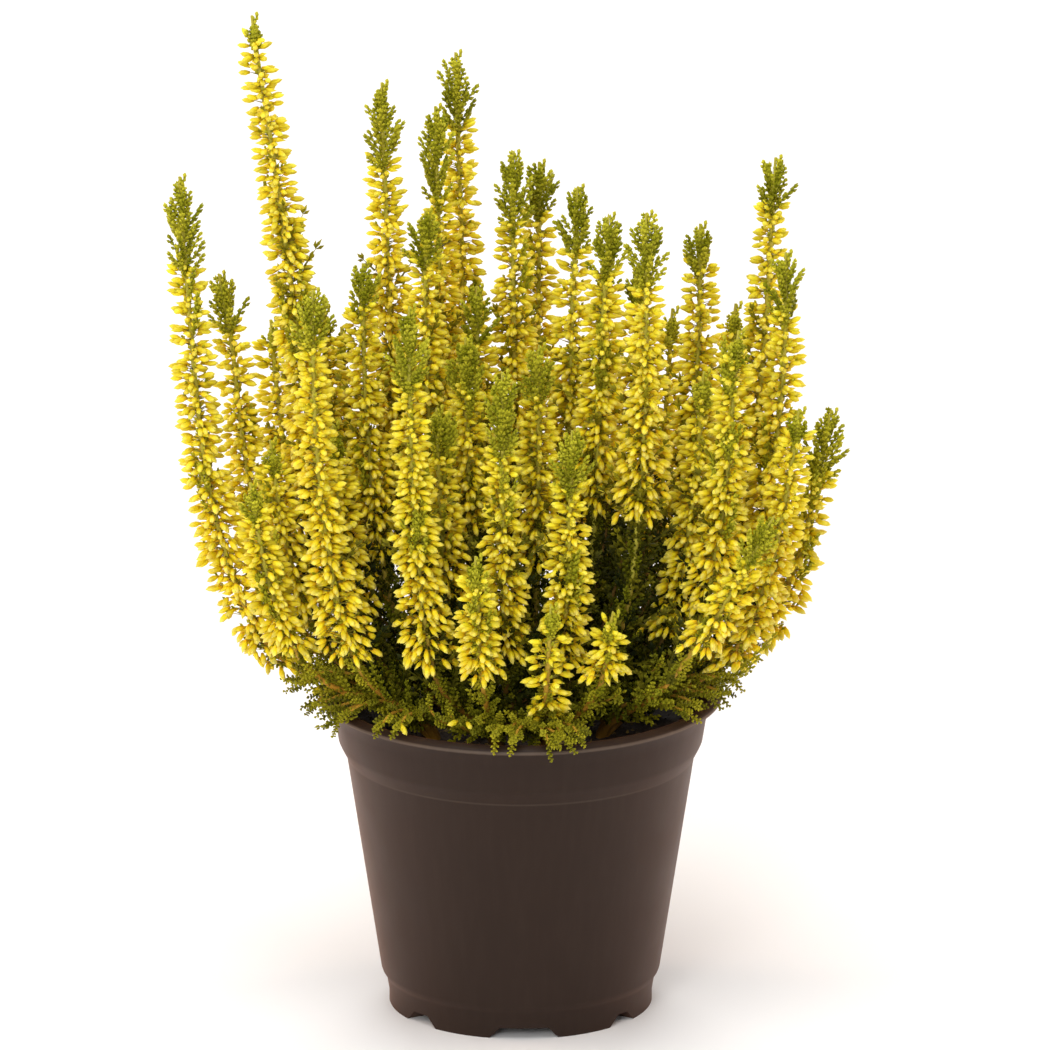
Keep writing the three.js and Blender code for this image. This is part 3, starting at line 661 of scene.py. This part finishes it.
def polypropylene_material():
    """Moulded polypropylene: grey-brown and satin, finely grained, with painted highlights on the lip's edge
    and along the seam.
    """
    material, tree, shader = start_material("moulded_polypropylene")
    place = add_node(tree, "TexCoord").outputs["Object"]
    cloud = add_node(tree, "TexNoise", {"Vector": place, "Scale": 1 / (16 * MM), "Detail": 4})
    colour = add_node(tree, "Mix", {FACTOR: cloud.outputs["Fac"], FIRST: paint("#2a1e17"),
                                    SECOND: paint("#2e211a")}, data_type="RGBA")
    drawn = add_node(tree, "Mapping", {"Vector": place, "Scale": (1, 1, 0.04)})
    streak = add_node(tree, "TexNoise", {"Vector": drawn.outputs[0], "Scale": 1 / (2.2 * MM),
                                         "Detail": 3})
    scuff = add_node(tree, "MapRange", {"Value": streak.outputs["Fac"], "From Min": 0.45,
                                        "From Max": 0.8, "To Max": 0.03})
    worn = add_node(tree, "Mix", {FACTOR: scuff.outputs[0], FIRST: colour.outputs[MIXED],
                                  SECOND: paint("#6a584c")}, data_type="RGBA")
    flat = add_node(tree, "VectorMath", {0: place, 1: (1, 1, 0)}, operation="MULTIPLY").outputs[0]
    radius = add_node(tree, "VectorMath", {0: flat}, operation="LENGTH").outputs["Value"]
    # painted highlight: the lip's outermost edge is mixed towards a pale colour
    lip = add_node(tree, "MapRange", {"Value": radius, "From Min": LIP_HIGHLIGHT_RADII[0] * MM,
                                      "From Max": LIP_HIGHLIGHT_RADII[1] * MM, "To Max": 0.3})
    # painted highlight: a thin pale line along the seam
    height = add_node(tree, "SeparateXYZ", {"Vector": place}).outputs["Z"]
    level = add_node(tree, "Math", {0: height, 1: SEAM_HEIGHT * MM}, operation="SUBTRACT").outputs[0]
    off_seam = add_node(tree, "Math", {0: level}, operation="ABSOLUTE").outputs[0]
    seam = add_node(tree, "MapRange", {"Value": off_seam, "From Min": SEAM_HIGHLIGHT_REACH[0] * MM,
                                       "From Max": SEAM_HIGHLIGHT_REACH[1] * MM, "To Max": 0.07})
    # the painted highlights of lip and seam, mixed into the base colour
    painted_highlight = add_node(tree, "Math", {0: lip.outputs[0], 1: seam.outputs[0]}, operation="MAXIMUM")
    highlighted = add_node(tree, "Mix", {FACTOR: painted_highlight.outputs[0], FIRST: worn.outputs[MIXED],
                                   SECOND: paint("#8c7a6a")}, data_type="RGBA")
    grain = add_node(tree, "TexNoise", {"Vector": place, "Scale": 1 / (0.35 * MM), "Detail": 2})
    bump = add_node(tree, "Bump", {"Height": grain.outputs["Fac"], "Strength": 0.25,
                                   "Distance": 0.05 * MM})
    rough = add_node(tree, "MapRange", {"Value": cloud.outputs["Fac"], "To Min": 0.38, "To Max": 0.56})
    tree.links.new(highlighted.outputs[MIXED], shader.inputs["Base Color"])
    tree.links.new(rough.outputs[0], shader.inputs["Roughness"])
    tree.links.new(bump.outputs[0], shader.inputs["Normal"])
    shader.inputs["Specular IOR Level"].default_value = 0.16
    shader.inputs["Sheen Weight"].default_value = 0.2
    shader.inputs["Sheen Roughness"].default_value = 0.4
    shader.inputs["Sheen Tint"].default_value = paint("#d07c40")
    return material


# ------------------------------------------------------------------------ pot

def make_pot(material):
    pot = raise_turned(POT_SIDES, [(radius * MM, height * MM) for radius, height in POT_OUTLINE])
    close_top(pot)
    for middle, run in FEET:
        press_foot(pot, middle, run)
    cut_drains(pot)
    bpy.context.view_layer.objects.active = pot
    pot.select_set(True)
    bpy.ops.object.shade_smooth_by_angle(angle=math.radians(32))
    return finish_piece(pot, "grower_pot", "pot", [material])


def press_foot(pot, middle, run):
    """A foot is a stretch of the base ring drawn down to the floor, its ends sloped in."""
    deselect_all()
    bpy.context.view_layer.objects.active = pot
    bpy.ops.object.mode_set(mode="EDIT")
    bpy.ops.mesh.select_all(action="DESELECT")
    shell = bmesh.from_edit_mesh(pot.data)
    for face in shell.faces:
        spot = face.calc_center_median()
        turn = (math.degrees(math.atan2(spot.y, spot.x)) - middle + 180) % 360 - 180
        on_ring = abs(spot.z - FOOT_HEIGHT * MM) < 0.05 * MM and face.normal.z < -0.9
        face.select_set(on_ring and abs(turn) < run / 2)
    bmesh.update_edit_mesh(pot.data)
    bpy.ops.mesh.extrude_region_move(TRANSFORM_OT_translate={"value": (0, 0, -FOOT_HEIGHT * MM)})
    shell = bmesh.from_edit_mesh(pot.data)
    for corner in shell.verts:
        if corner.select:
            turn = (math.degrees(math.atan2(corner.co.y, corner.co.x)) - middle + 180) % 360 - 180
            turn = math.radians(middle + turn * (1 - 2 * FOOT_SLOPE / run))
            radius = math.hypot(corner.co.x, corner.co.y)
            corner.co.x, corner.co.y = radius * math.cos(turn), radius * math.sin(turn)
    bmesh.update_edit_mesh(pot.data)
    bpy.ops.object.mode_set(mode="OBJECT")


def cut_drains(pot):
    for drain in range(DRAIN_COUNT):
        turn = (drain + 0.5) * 2 * math.pi / DRAIN_COUNT
        deselect_all()
        bpy.ops.mesh.primitive_cylinder_add(
            vertices=32, radius=DRAIN_RADIUS * MM, depth=DRAIN_LENGTH * MM,
            location=(DRAIN_CIRCLE * MM * math.cos(turn), DRAIN_CIRCLE * MM * math.sin(turn),
                      DRAIN_HEIGHT * MM))
        punch = bpy.context.object
        cut = pot.modifiers.new("drain", "BOOLEAN")
        cut.operation = "DIFFERENCE"
        cut.object = punch
        bpy.context.view_layer.objects.active = pot
        bpy.ops.object.modifier_apply(modifier=cut.name)
        bpy.data.objects.remove(punch)


# ------------------------------------------------------------- growing medium

def make_medium(material, leaf):
    """The medium: its turned body, a lumpy top, crumbs of peat and fallen scale leaves."""
    outline = list(MEDIUM_OUTLINE)
    edge = outline[-1][0]
    for ring in range(1, MEDIUM_RINGS):
        outline.append((edge * (1 - ring / MEDIUM_RINGS), MEDIUM_TOP))
    body = raise_turned(MEDIUM_SIDES, [(radius * MM, height * MM) for radius, height in outline])
    close_top(body)
    for corner in body.data.vertices:
        if corner.co.z > (MEDIUM_TOP - 0.5) * MM:
            corner.co.z += medium_lump(corner.co.x, corner.co.y)
    shape = take_shape(body, smooth=True)
    shape.along = shape.along * 0
    medium = Bunch()
    medium.keep(shape, shape.corners, count=1, tones=0, ages=0, finish=OWN)
    crumb = model_crumb()
    places = scatter_on_medium(CRUMB_COUNT)
    sizes = rng.uniform(*CRUMB_SIZES, CRUMB_COUNT) * MM
    medium.add(crumb, places, rng.normal(size=(CRUMB_COUNT, 3)), rng.normal(size=(CRUMB_COUNT, 3)),
               sizes, sizes * rng.uniform(0.6, 1, CRUMB_COUNT), rng.uniform(0, 0.15, CRUMB_COUNT), 0)
    places = scatter_on_medium(LITTER_COUNT) + (0, 0, 0.4 * MM)
    lying = rng.normal(size=(LITTER_COUNT, 3)) * (1, 1, 0.25)
    medium.add(leaf, places, lying, (0, 0, 1), rng.uniform(*LITTER_LENGTHS, LITTER_COUNT) * MM,
               rng.uniform(*LITTER_WIDTHS, LITTER_COUNT) * MM, rng.uniform(0.35, 1, LITTER_COUNT), 0)
    return finish_piece(medium.build("peat_medium"), "peat_medium",
                        "growing_medium", [material])


def medium_lump(x, y):
    coarse = noise.noise(Vector((x, y, 0)) / (COARSE_LUMPS[0] * MM))
    fine = noise.noise(Vector((x, y, MM)) / (FINE_LUMPS[0] * MM))
    return (COARSE_LUMPS[1] * coarse + FINE_LUMPS[1] * fine) * MM


def scatter_on_medium(count):
    edge = MEDIUM_OUTLINE[-1][0] * MM
    turn = rng.uniform(0, 2 * math.pi, count)
    out = edge * np.sqrt(rng.uniform(0, 1, count))
    x, y = out * np.cos(turn), out * np.sin(turn)
    z = [MEDIUM_TOP * MM + medium_lump(*spot) for spot in zip(x, y)]
    return np.stack([x, y, z], axis=1)


def model_crumb():
    deselect_all()
    bpy.ops.mesh.primitive_ico_sphere_add(subdivisions=1, radius=0.5)
    crumb = bpy.context.object
    for corner in crumb.data.vertices:
        corner.co *= 0.75 + 0.5 * noise.noise(corner.co * 3 + Vector((5, 1, 2)))
    return take_shape(crumb)


# --------------------------------------------------------------- leafy stems

def draw_tubes(paths, sizes):
    """Round stems along paths, each thinning as its sizes say."""
    curve = bpy.data.curves.new("stems", "CURVE")
    curve.dimensions = "3D"
    curve.bevel_depth = 1.0
    curve.bevel_resolution = 1
    curve.use_fill_caps = True
    for path, radii in zip(paths, sizes):
        spline = curve.splines.new("POLY")
        spline.points.add(len(path) - 1)
        for point, place, radius in zip(spline.points, path, radii):
            point.co = (*place, 1)
            point.radius = radius
    tubes = bpy.data.objects.new("stems", curve)
    bpy.context.scene.collection.objects.link(tubes)
    deselect_all()
    tubes.select_set(True)
    bpy.context.view_layer.objects.active = tubes
    bpy.ops.object.convert(target="MESH")
    return take_shape(bpy.context.object, smooth=True)


def stem_sizes(shoot):
    heights = shoot.path[:, 2] / MM
    least, radius = STEM_UNDER_SPIKE
    rows = STEM_SIZES + [(max(shoot.foot / MM, least), radius), (shoot.top / MM, STEM_IN_SPIKE),
                         (shoot.tip[2] / MM, STEM_AT_TIP)]
    return lookup(rows, heights) * MM


def make_leafy_plant(plant, shoots, shapes, materials):
    bunch = Bunch()
    own = [shoot for shoot in shoots if shoot.plant == plant]
    tubes = draw_tubes([shoot.path for shoot in own], [stem_sizes(shoot) for shoot in own])
    bunch.keep(tubes, tubes.corners, count=1, tones=0.5, ages=0, finish=BARK)
    bunch.parts[-1].age = np.clip((WOODY_TOP * MM - tubes.corners[:, 2]) / (WOODY_FADE * MM), 0, 1)
    # painted shade: stems deep inside the bush, below the spikes, are darker
    low = np.clip((STEM_SHADE_TOP * MM - tubes.corners[:, 2]) / (STEM_SHADE_FADE * MM), 0, 1)
    bunch.parts[-1].tone = 1 - depth_inside(tubes.corners) * low
    for shoot in own:
        dress_low_stem(bunch, shoot, shapes)
        dress_spike_stem(bunch, shoot, shapes)
        dress_tip(bunch, shoot, shapes)
    for start, over, end in SPRAYS.get(plant, []):
        dress_spray(bunch, start, over, end, shapes)
    for name, start, end in STRAY_TWIGS:
        if name == plant:
            run = np.subtract(end, start)
            bunch.add(shapes.low_twig, np.multiply(start, MM), run, (0, 0, 1),
                      np.linalg.norm(run) / LOW_TWIG.long * MM, 0.8 * MM, tones=0.6, ages=0.8)
    for name, place, facing in STRAY_BUDS:
        if name == plant:
            bunch.add(shapes.bud, np.multiply(place, MM), facing, (0, 0, 1), 3.8 * MM, 0.85 * MM,
                      tones=0.3, ages=0.3, finish=OTHER)
    return finish_piece(bunch.build("leafy_plant"), "leafy_plant_" + plant,
                        "leafy_stems_" + plant, materials)


def side_frames(count, growing):
    """Two directions square to the way that a stem grows."""
    growing = np.broadcast_to(growing, (count, 3))
    first = unit(np.cross(growing, (0.3, 0.2, 1.0)) + 1e-6)
    return first, np.cross(growing, first)


def clear_of_lip(starts, directions, lengths):
    """Tilts up the twigs that would touch the lip."""
    reach = unit(directions) * lengths[:, None]
    ends = starts + reach
    far = np.linalg.norm(ends[:, :2], axis=1)
    clear = (LIP_TOP + LIP_CLEAR) * MM
    over_lip = (far > LIP_REACH[0] * MM) & (far < LIP_REACH[1] * MM) & (ends[:, 2] < clear)
    reach[:, 2] += np.where(over_lip, clear - ends[:, 2], 0)
    return unit(reach)


def depth_inside(points):
    """How deep a place is in the bush: 0 at its outside, 1 well inside. Painted shade inside the bush
    follows it.
    """
    outward = np.hypot(points[:, 0] / BUSH_WIDE, points[:, 1] / BUSH_DEEP) / MM
    return np.clip((1 - outward / spread_at(points[:, 2])) / LIT_SHARE, 0, 1)


def directions_round(growing, turn, opening):
    """Directions that open from the way a stem grows, turned round it."""
    first, second = side_frames(len(turn), growing)
    around = first * np.cos(turn)[:, None] + second * np.sin(turn)[:, None]
    return growing * np.cos(opening)[:, None] + around * np.sin(opening)[:, None], around


def dress_low_stem(bunch, shoot, shapes):
    """Leafy twigs in crossed pairs up to the foot of the spike, the longest low down."""
    steps = np.linalg.norm(np.diff(shoot.path, axis=0), axis=1)
    travel = np.concatenate([[0], np.cumsum(steps)])
    ends = [LOW_TWIG_START * MM, shoot.foot + LOW_TWIG_PAST * MM]
    start, end = np.interp(ends, shoot.path[:, 2], travel)
    pairs = int((end - start) / (LOW_TWIG_SPACING * MM))
    for half in (0, math.pi):
        share = np.linspace(0, 1, pairs)
        spots = start + (end - start) * share + rng.uniform(-1, 1, pairs) * MM
        points, growing = point_at(shoot, np.interp(spots, travel, shoot.path[:, 2]))
        turn = np.arange(pairs) * math.pi / 2 + half + rng.normal(0, 0.35, pairs)
        opening = np.radians(rng.uniform(28, 55, pairs))
        directions, _ = directions_round(growing, turn, opening)
        lengths = np.interp(share, (0, 1), LOW_TWIG_LENGTHS) * rng.uniform(0.75, 1.25, pairs) * MM
        directions = clear_of_lip(points, directions, lengths)
        ends = points + directions * lengths[:, None]
        deep = depth_inside(ends)
        grown = ~is_bare(ends)
        # painted shade: twigs that end deep in the bush are darker
        tones = rng.uniform(0.15, 1, pairs) * (1 - INSIDE_PAINTED_SHADE * deep)
        bunch.add(shapes.low_twig, points[grown], directions[grown], growing[grown],
                  lengths[grown] / LOW_TWIG.long, rng.uniform(0.85, 1.1, grown.sum()) * MM,
                  tones[grown], rng.uniform(0.35, 1, grown.sum()))
    spots = np.linspace(start, end, round(1.6 * pairs))
    fill_inside(bunch, shoot, shapes, np.interp(spots, travel, shoot.path[:, 2]))
    highest = shoot.foot * (1 - INNER_TWIG_END) + shoot.top * INNER_TWIG_END
    fill_inside(bunch, shoot, shapes, np.arange(shoot.foot, highest, INNER_TWIG_SPACING * MM))
    clad_stem(bunch, shoot, shapes, BARK_LEAF_START * MM, shoot.foot, BARK_LEAF_SPACING * MM,
              finish=OWN, age=0.75)


def is_bare(points):
    middle = np.array(BARE_MIDDLE) * MM
    near = np.linalg.norm(points[:, :2] - middle, axis=1) < BARE_RADIUS * MM
    return near & (points[:, 2] < BARE_TOP * MM)


def fill_inside(bunch, shoot, shapes, heights):
    """Long twigs that close the bush inside, painted dark as shade where little light falls."""
    count = len(heights)
    points, growing = point_at(shoot, heights)
    turn = np.arange(count) * GOLDEN_TURN + rng.normal(0, 0.35, count)
    directions, _ = directions_round(growing, turn, np.radians(rng.uniform(35, 65, count)))
    lengths = rng.uniform(*INNER_TWIG_LENGTHS, count) * MM
    ends = points + directions * lengths[:, None]
    inside = (depth_inside(ends) > INNER_TWIG_DEPTH) & ~is_bare(ends)
    # painted shade: dark twigs, lighter higher up as painted golden shade between the spikes
    paler = np.clip((heights - INNER_TWIG_SHADE_TOP * MM) / (INNER_TWIG_SHADE_RISE * MM), 0, 0.5)
    tones = 0.4 * rng.uniform(0, 1, count) ** 3 + paler
    bunch.add(shapes.inner_twig, points[inside], directions[inside], growing[inside],
              lengths[inside] / INNER_TWIG.long, MM, tones[inside], 1.0)


def clad_stem(bunch, shoot, shapes, low, high, spacing, finish, age):
    """Scale leaves in crossed pairs, pressed to the stem that they climb."""
    heights = np.arange(low, high, spacing)
    count = len(heights)
    points, growing = point_at(shoot, heights)
    out = np.interp(heights, shoot.path[:, 2], stem_sizes(shoot))[:, None] * 0.7
    for half in (0, math.pi):
        turn = np.arange(count) * math.pi / 2 + half
        opening = np.full(count, math.radians(STEM_LEAF_OPENING))
        directions, around = directions_round(growing, turn, opening)
        tones = rng.uniform(0.3, 1, count)
        # painted shade: leaves on the low stems darken deeper in the bush
        if finish == OWN:
            tones = tones * (1 - 0.8 * depth_inside(points))
        bunch.add(shapes.leaf, points + around * out, directions, around, STEM_LEAF[0] * MM,
                  STEM_LEAF[1] * MM, tones, age, finish)


def dress_spike_stem(bunch, shoot, shapes):
    """Here and there a tuft of green twigs stands out among the buds."""
    length = shoot.top - shoot.foot
    count = TUFT_TWIGS
    for _ in range(rng.poisson(length / (TUFT_SPACING * MM))):
        level = rng.uniform(shoot.foot + 0.25 * length, shoot.top - 0.05 * length)
        points, growing = point_at(shoot, level + rng.uniform(-6, 6, count) * MM)
        turn = rng.uniform(0, 2 * math.pi) + rng.normal(0, 0.45, count)
        opening = np.radians(rng.uniform(18, 34, count))
        directions, around = directions_round(growing, turn, opening)
        bunch.add(shapes.tip_twig, points + around * 1.8 * MM, directions, growing,
                  rng.uniform(1.0, 1.5, count) * MM, rng.uniform(0.85, 1.05, count) * MM,
                  rng.uniform(0.2, 0.9, count), 0.15)


def dress_tip(bunch, shoot, shapes):
    """The green tip: knobbly twigs that part from the stem and rise, their ends standing out."""
    low, high = shoot.top - TIP_START * MM, shoot.tip[2] - TIP_STOP * MM
    count = max(TIP_TWIGS_LEAST, int((shoot.tip[2] - low) / MM * TIP_TWIGS_EACH_MM))
    share = np.linspace(0, 1, count)
    heights = low + (high - low) * share + rng.uniform(-0.6, 0.6, count) * MM
    points, growing = point_at(shoot, heights)
    turn = np.arange(count) * GOLDEN_TURN + rng.normal(0, 0.3, count)
    opening = np.radians(rng.uniform(36, 64, count) - 16 * share)
    directions, _ = directions_round(growing, turn, opening)
    size = np.clip((shoot.tip[2] - shoot.top) / (TIP_FULL * MM), TIP_SIZE_LEAST, 1)
    lengths = rng.uniform(*TIP_TWIG_LENGTHS, count) * lookup(TIP_SWELL, share) * size * MM
    room = (shoot.tip[2] - heights) / np.cos(opening)
    lengths = np.minimum(lengths, np.maximum(room, 4 * size * MM))
    bunch.add(shapes.tip_twig, points, directions, growing, lengths / TIP_TWIG.long,
              rng.uniform(0.9, 1.15, count) * MM, rng.uniform(0, 1, count), 0.3 * (1 - share))
    point, growing = point_at(shoot, shoot.tip[2] - TIP_END * MM)
    bunch.add(shapes.tip_twig, point, growing, (1, 0, 0), TIP_END / TIP_TWIG.long * MM, MM,
              tones=0.7, ages=0)


def dress_spray(bunch, start, over, end, shapes):
    """A leafy side shoot, arched from its start to its end, with small twigs all along."""
    share = np.linspace(0, 1, SPRAY_SAMPLES)[:, None]
    start, over, end = (np.array(spot) * MM for spot in (start, over, end))
    path = start * (1 - share) ** 2 + 2 * over * share * (1 - share) + end * share ** 2
    tube = draw_tubes([path], [np.linspace(*SPRAY_RADII, SPRAY_SAMPLES) * MM])
    bunch.keep(tube, tube.corners, count=1, tones=1, ages=0.8, finish=BARK)
    # painted shade: the spray's stem and its twigs darken deep in the bush
    bunch.parts[-1].tone = 1 - INSIDE_PAINTED_SHADE * depth_inside(tube.corners)
    inside = depth_inside(path[-1:])[0] > SPRAY_DEPTH
    shape, long = (shapes.inner_twig, INNER_TWIG.long) if inside else (shapes.low_twig, LOW_TWIG.long)
    slopes = unit(np.gradient(path, axis=0))
    travel = np.concatenate([[0], np.cumsum(np.linalg.norm(np.diff(path, axis=0), axis=1))])
    count = round(travel[-1] / (SPRAY_TWIG_SPACING * MM))
    spots = np.linspace(0.1, 0.97, count) * travel[-1]
    points = np.stack([np.interp(spots, travel, path[:, k]) for k in range(3)], axis=1)
    growing = unit(np.stack([np.interp(spots, travel, slopes[:, k]) for k in range(3)], axis=1))
    for half in (0, math.pi):
        turn = np.arange(count) * math.pi / 2 + half + rng.normal(0, 0.3, count)
        directions, _ = directions_round(growing, turn, np.radians(rng.uniform(28, 52, count)))
        lengths = np.linspace(*SPRAY_TWIG_LENGTHS, count) * rng.uniform(0.8, 1.2, count) * MM
        directions = clear_of_lip(points, directions, lengths)
        deep = depth_inside(points + directions * lengths[:, None])
        bunch.add(shape, points, directions, growing, lengths / long, rng.uniform(0.85, 1.05, count) * MM,
                  rng.uniform(0.1, 0.8, count) * (1 - INSIDE_PAINTED_SHADE * deep), 0.75)
    bunch.add(shapes.low_twig, path[-1] - slopes[-1] * 2.5 * MM, slopes[-1], (0, 0, 1),
              0.55 * MM, 0.9 * MM, tones=0.75, ages=0.65)


# -------------------------------------------------------------- flower spikes

def make_spike(shoot, shapes, materials):
    """Whorls of closed buds: young and level at the top, big, close and hanging at the foot."""
    bunch = Bunch()
    whorls = max(4, round((shoot.top - shoot.foot) / (WHORL_RISE * MM)))
    turn = rng.uniform(0, 2 * math.pi)
    for whorl in range(whorls + 1):
        share = whorl / whorls
        height = shoot.foot + (shoot.top - shoot.foot) * share
        count = int(lookup(BUD_COUNT, share) * SPARSE.get(shoot.name, 1) + rng.uniform(0, 1))
        turn += math.pi / 2 + rng.normal(0.04, 0.12)
        add_whorl(bunch, shoot, shapes, height, share, count, turn)
    clad_stem(bunch, shoot, shapes, shoot.foot, shoot.top, BUD_LEAF_SPACING * MM,
              finish=OTHER, age=0.1)
    return finish_piece(bunch.build("spike"), "bud_spike_" + shoot.name,
                        shoot.spike, materials)


def add_whorl(bunch, shoot, shapes, height, share, count, turn):
    """Two clusters of buds that face each other across the stem, the next pair crossing them."""
    inner_count = int(lookup(INNER_BUD_COUNT, share) * count / lookup(BUD_COUNT, share) + 0.5)
    inner = np.arange(count + inner_count) >= count
    count += inner_count
    spread = lookup(BUD_SPREAD, share) * np.where(inner, 1.4, 1)
    turns = turn + np.arange(count) % 2 * math.pi + rng.normal(0, 1, count) * spread
    offset = rng.uniform(-1.5, 1.5, count)
    points, growing = point_at(shoot, height + offset * MM)
    around = np.stack([np.cos(turns), np.sin(turns), 0 * turns], axis=1)
    pitch = np.radians(lookup(BUD_PITCH, share) + 8 * offset + rng.normal(0, 7, count))
    directions = around * np.cos(pitch)[:, None] + growing * np.sin(pitch)[:, None]
    lengths = lookup(BUD_LENGTH, share) * rng.uniform(0.88, 1.14, count) * MM
    widths = lookup(BUD_WIDTH, share) * rng.uniform(0.9, 1.1, count) * MM / 2
    reach = shoot.reach_at(height) * np.where(inner, rng.uniform(0.5, 0.76, count),
                                              rng.uniform(0.82, 1.08, count))
    base = np.maximum(reach - lengths * np.cos(pitch), 0.3 * MM)
    origins = points + around * base[:, None] + growing * (0.3 * base)[:, None]
    # painted light: covered inner buds are made brighter, standing in for light bounced between buds
    tones = np.where(inner, rng.uniform(0.8, 1.2, count), rng.uniform(0, 1, count))
    ages = np.clip(1 - share + rng.normal(0, 0.08, count), 0, 1)
    uppers = rng.normal(size=(count, 3))
    for shape, rows in ((shapes.bud, ~inner), (shapes.inner_bud, inner)):
        bunch.add(shape, origins[rows], directions[rows], uppers[rows], lengths[rows], widths[rows],
                  tones[rows], ages[rows])
    outer = ~inner
    bunch.add(shapes.stalk, points[outer], (origins - points)[outer], (0, 0, 1),
              np.linalg.norm(origins - points, axis=1)[outer] + 0.9 * MM, 0.3 * MM, tones[outer],
              ages=0.1, finish=BARK)
    leafy = outer & (rng.uniform(0, 1, count) < 0.3)
    bunch.add(shapes.leaf, origins[leafy], (around * 0.6 + growing * 0.8)[leafy], (0, 0, 1),
              1.7 * MM, 0.9 * MM, tones[leafy], ages=0.2, finish=OTHER)


# ------------------------------------------------------------- camera, lights

def aim(thing, place, target):
    thing.location = place
    thing.rotation_mode = "QUATERNION"
    thing.rotation_quaternion = (Vector(target) - Vector(place)).to_track_quat("-Z", "Y")


def add_lamp(name, place, target, size, power, colour):
    lamp = bpy.data.lights.new(name, "AREA")
    lamp.shape = "DISK"
    lamp.color = paint(colour)[:3]
    lamp.size = size
    lamp.energy = power
    lamp_object = bpy.data.objects.new(name, lamp)
    bpy.context.scene.collection.objects.link(lamp_object)
    aim(lamp_object, place, target)


def set_studio():
    deselect_all()
    bpy.ops.mesh.primitive_plane_add(size=FLOOR_SIZE)
    floor = bpy.context.object
    floor.name = "studio_floor"
    material, _, shader = start_material("matt_white_paper")
    shader.inputs["Base Color"].default_value = paint("#f4f3f1")
    shader.inputs["Roughness"].default_value = 0.9
    floor.data.materials.append(material)
    world = bpy.data.worlds.new("soft_box")
    bpy.context.scene.world = world
    world.use_nodes = True
    world.node_tree.nodes["Background"].inputs["Color"].default_value = paint("#fbfbff")
    world.node_tree.nodes["Background"].inputs["Strength"].default_value = 0.4
    for lamp in LAMPS:
        add_lamp(*lamp)
    bpy.context.scene.view_settings.view_transform = "Standard"


def set_camera():
    camera = bpy.data.cameras.new("camera")
    camera.sensor_width = SENSOR
    camera.lens = SENSOR * VIEW_DISTANCE / VIEW_WIDTH
    camera_object = bpy.data.objects.new("camera", camera)
    bpy.context.scene.collection.objects.link(camera_object)
    rise = math.radians(VIEW_RISE)
    back = Vector((0, -math.cos(rise), math.sin(rise))) * VIEW_DISTANCE
    aim(camera_object, VIEW_AIM + back, VIEW_AIM)
    camera.clip_end = 20
    bpy.context.scene.camera = camera_object


# ---------------------------------------------------------------------- build

def main():
    set_camera()
    set_studio()
    calyx = calyx_material()
    scale_leaf = scale_leaf_material()
    bark = bark_material()
    leaf = model_leaf()
    stalk = model_stalk()
    shapes = SimpleNamespace(
        leaf=leaf,
        stalk=stalk,
        bud=model_bud(),
        inner_bud=model_inner_bud(),
        tip_twig=model_twig(leaf, stalk, TIP_TWIG),
        low_twig=model_twig(leaf, stalk, LOW_TWIG),
        inner_twig=model_twig(leaf, stalk, INNER_TWIG))
    make_pot(polypropylene_material())
    make_medium(peat_material(), leaf)
    spikes = sorted(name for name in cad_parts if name.startswith("flower_spike_"))
    shoots = [read_shoot(spike) for spike in spikes]
    for plant in sorted({shoot.plant for shoot in shoots}):
        make_leafy_plant(plant, shoots, shapes, [scale_leaf, bark, calyx])
    for shoot in shoots:
        make_spike(shoot, shapes, [calyx, bark, scale_leaf])


main()
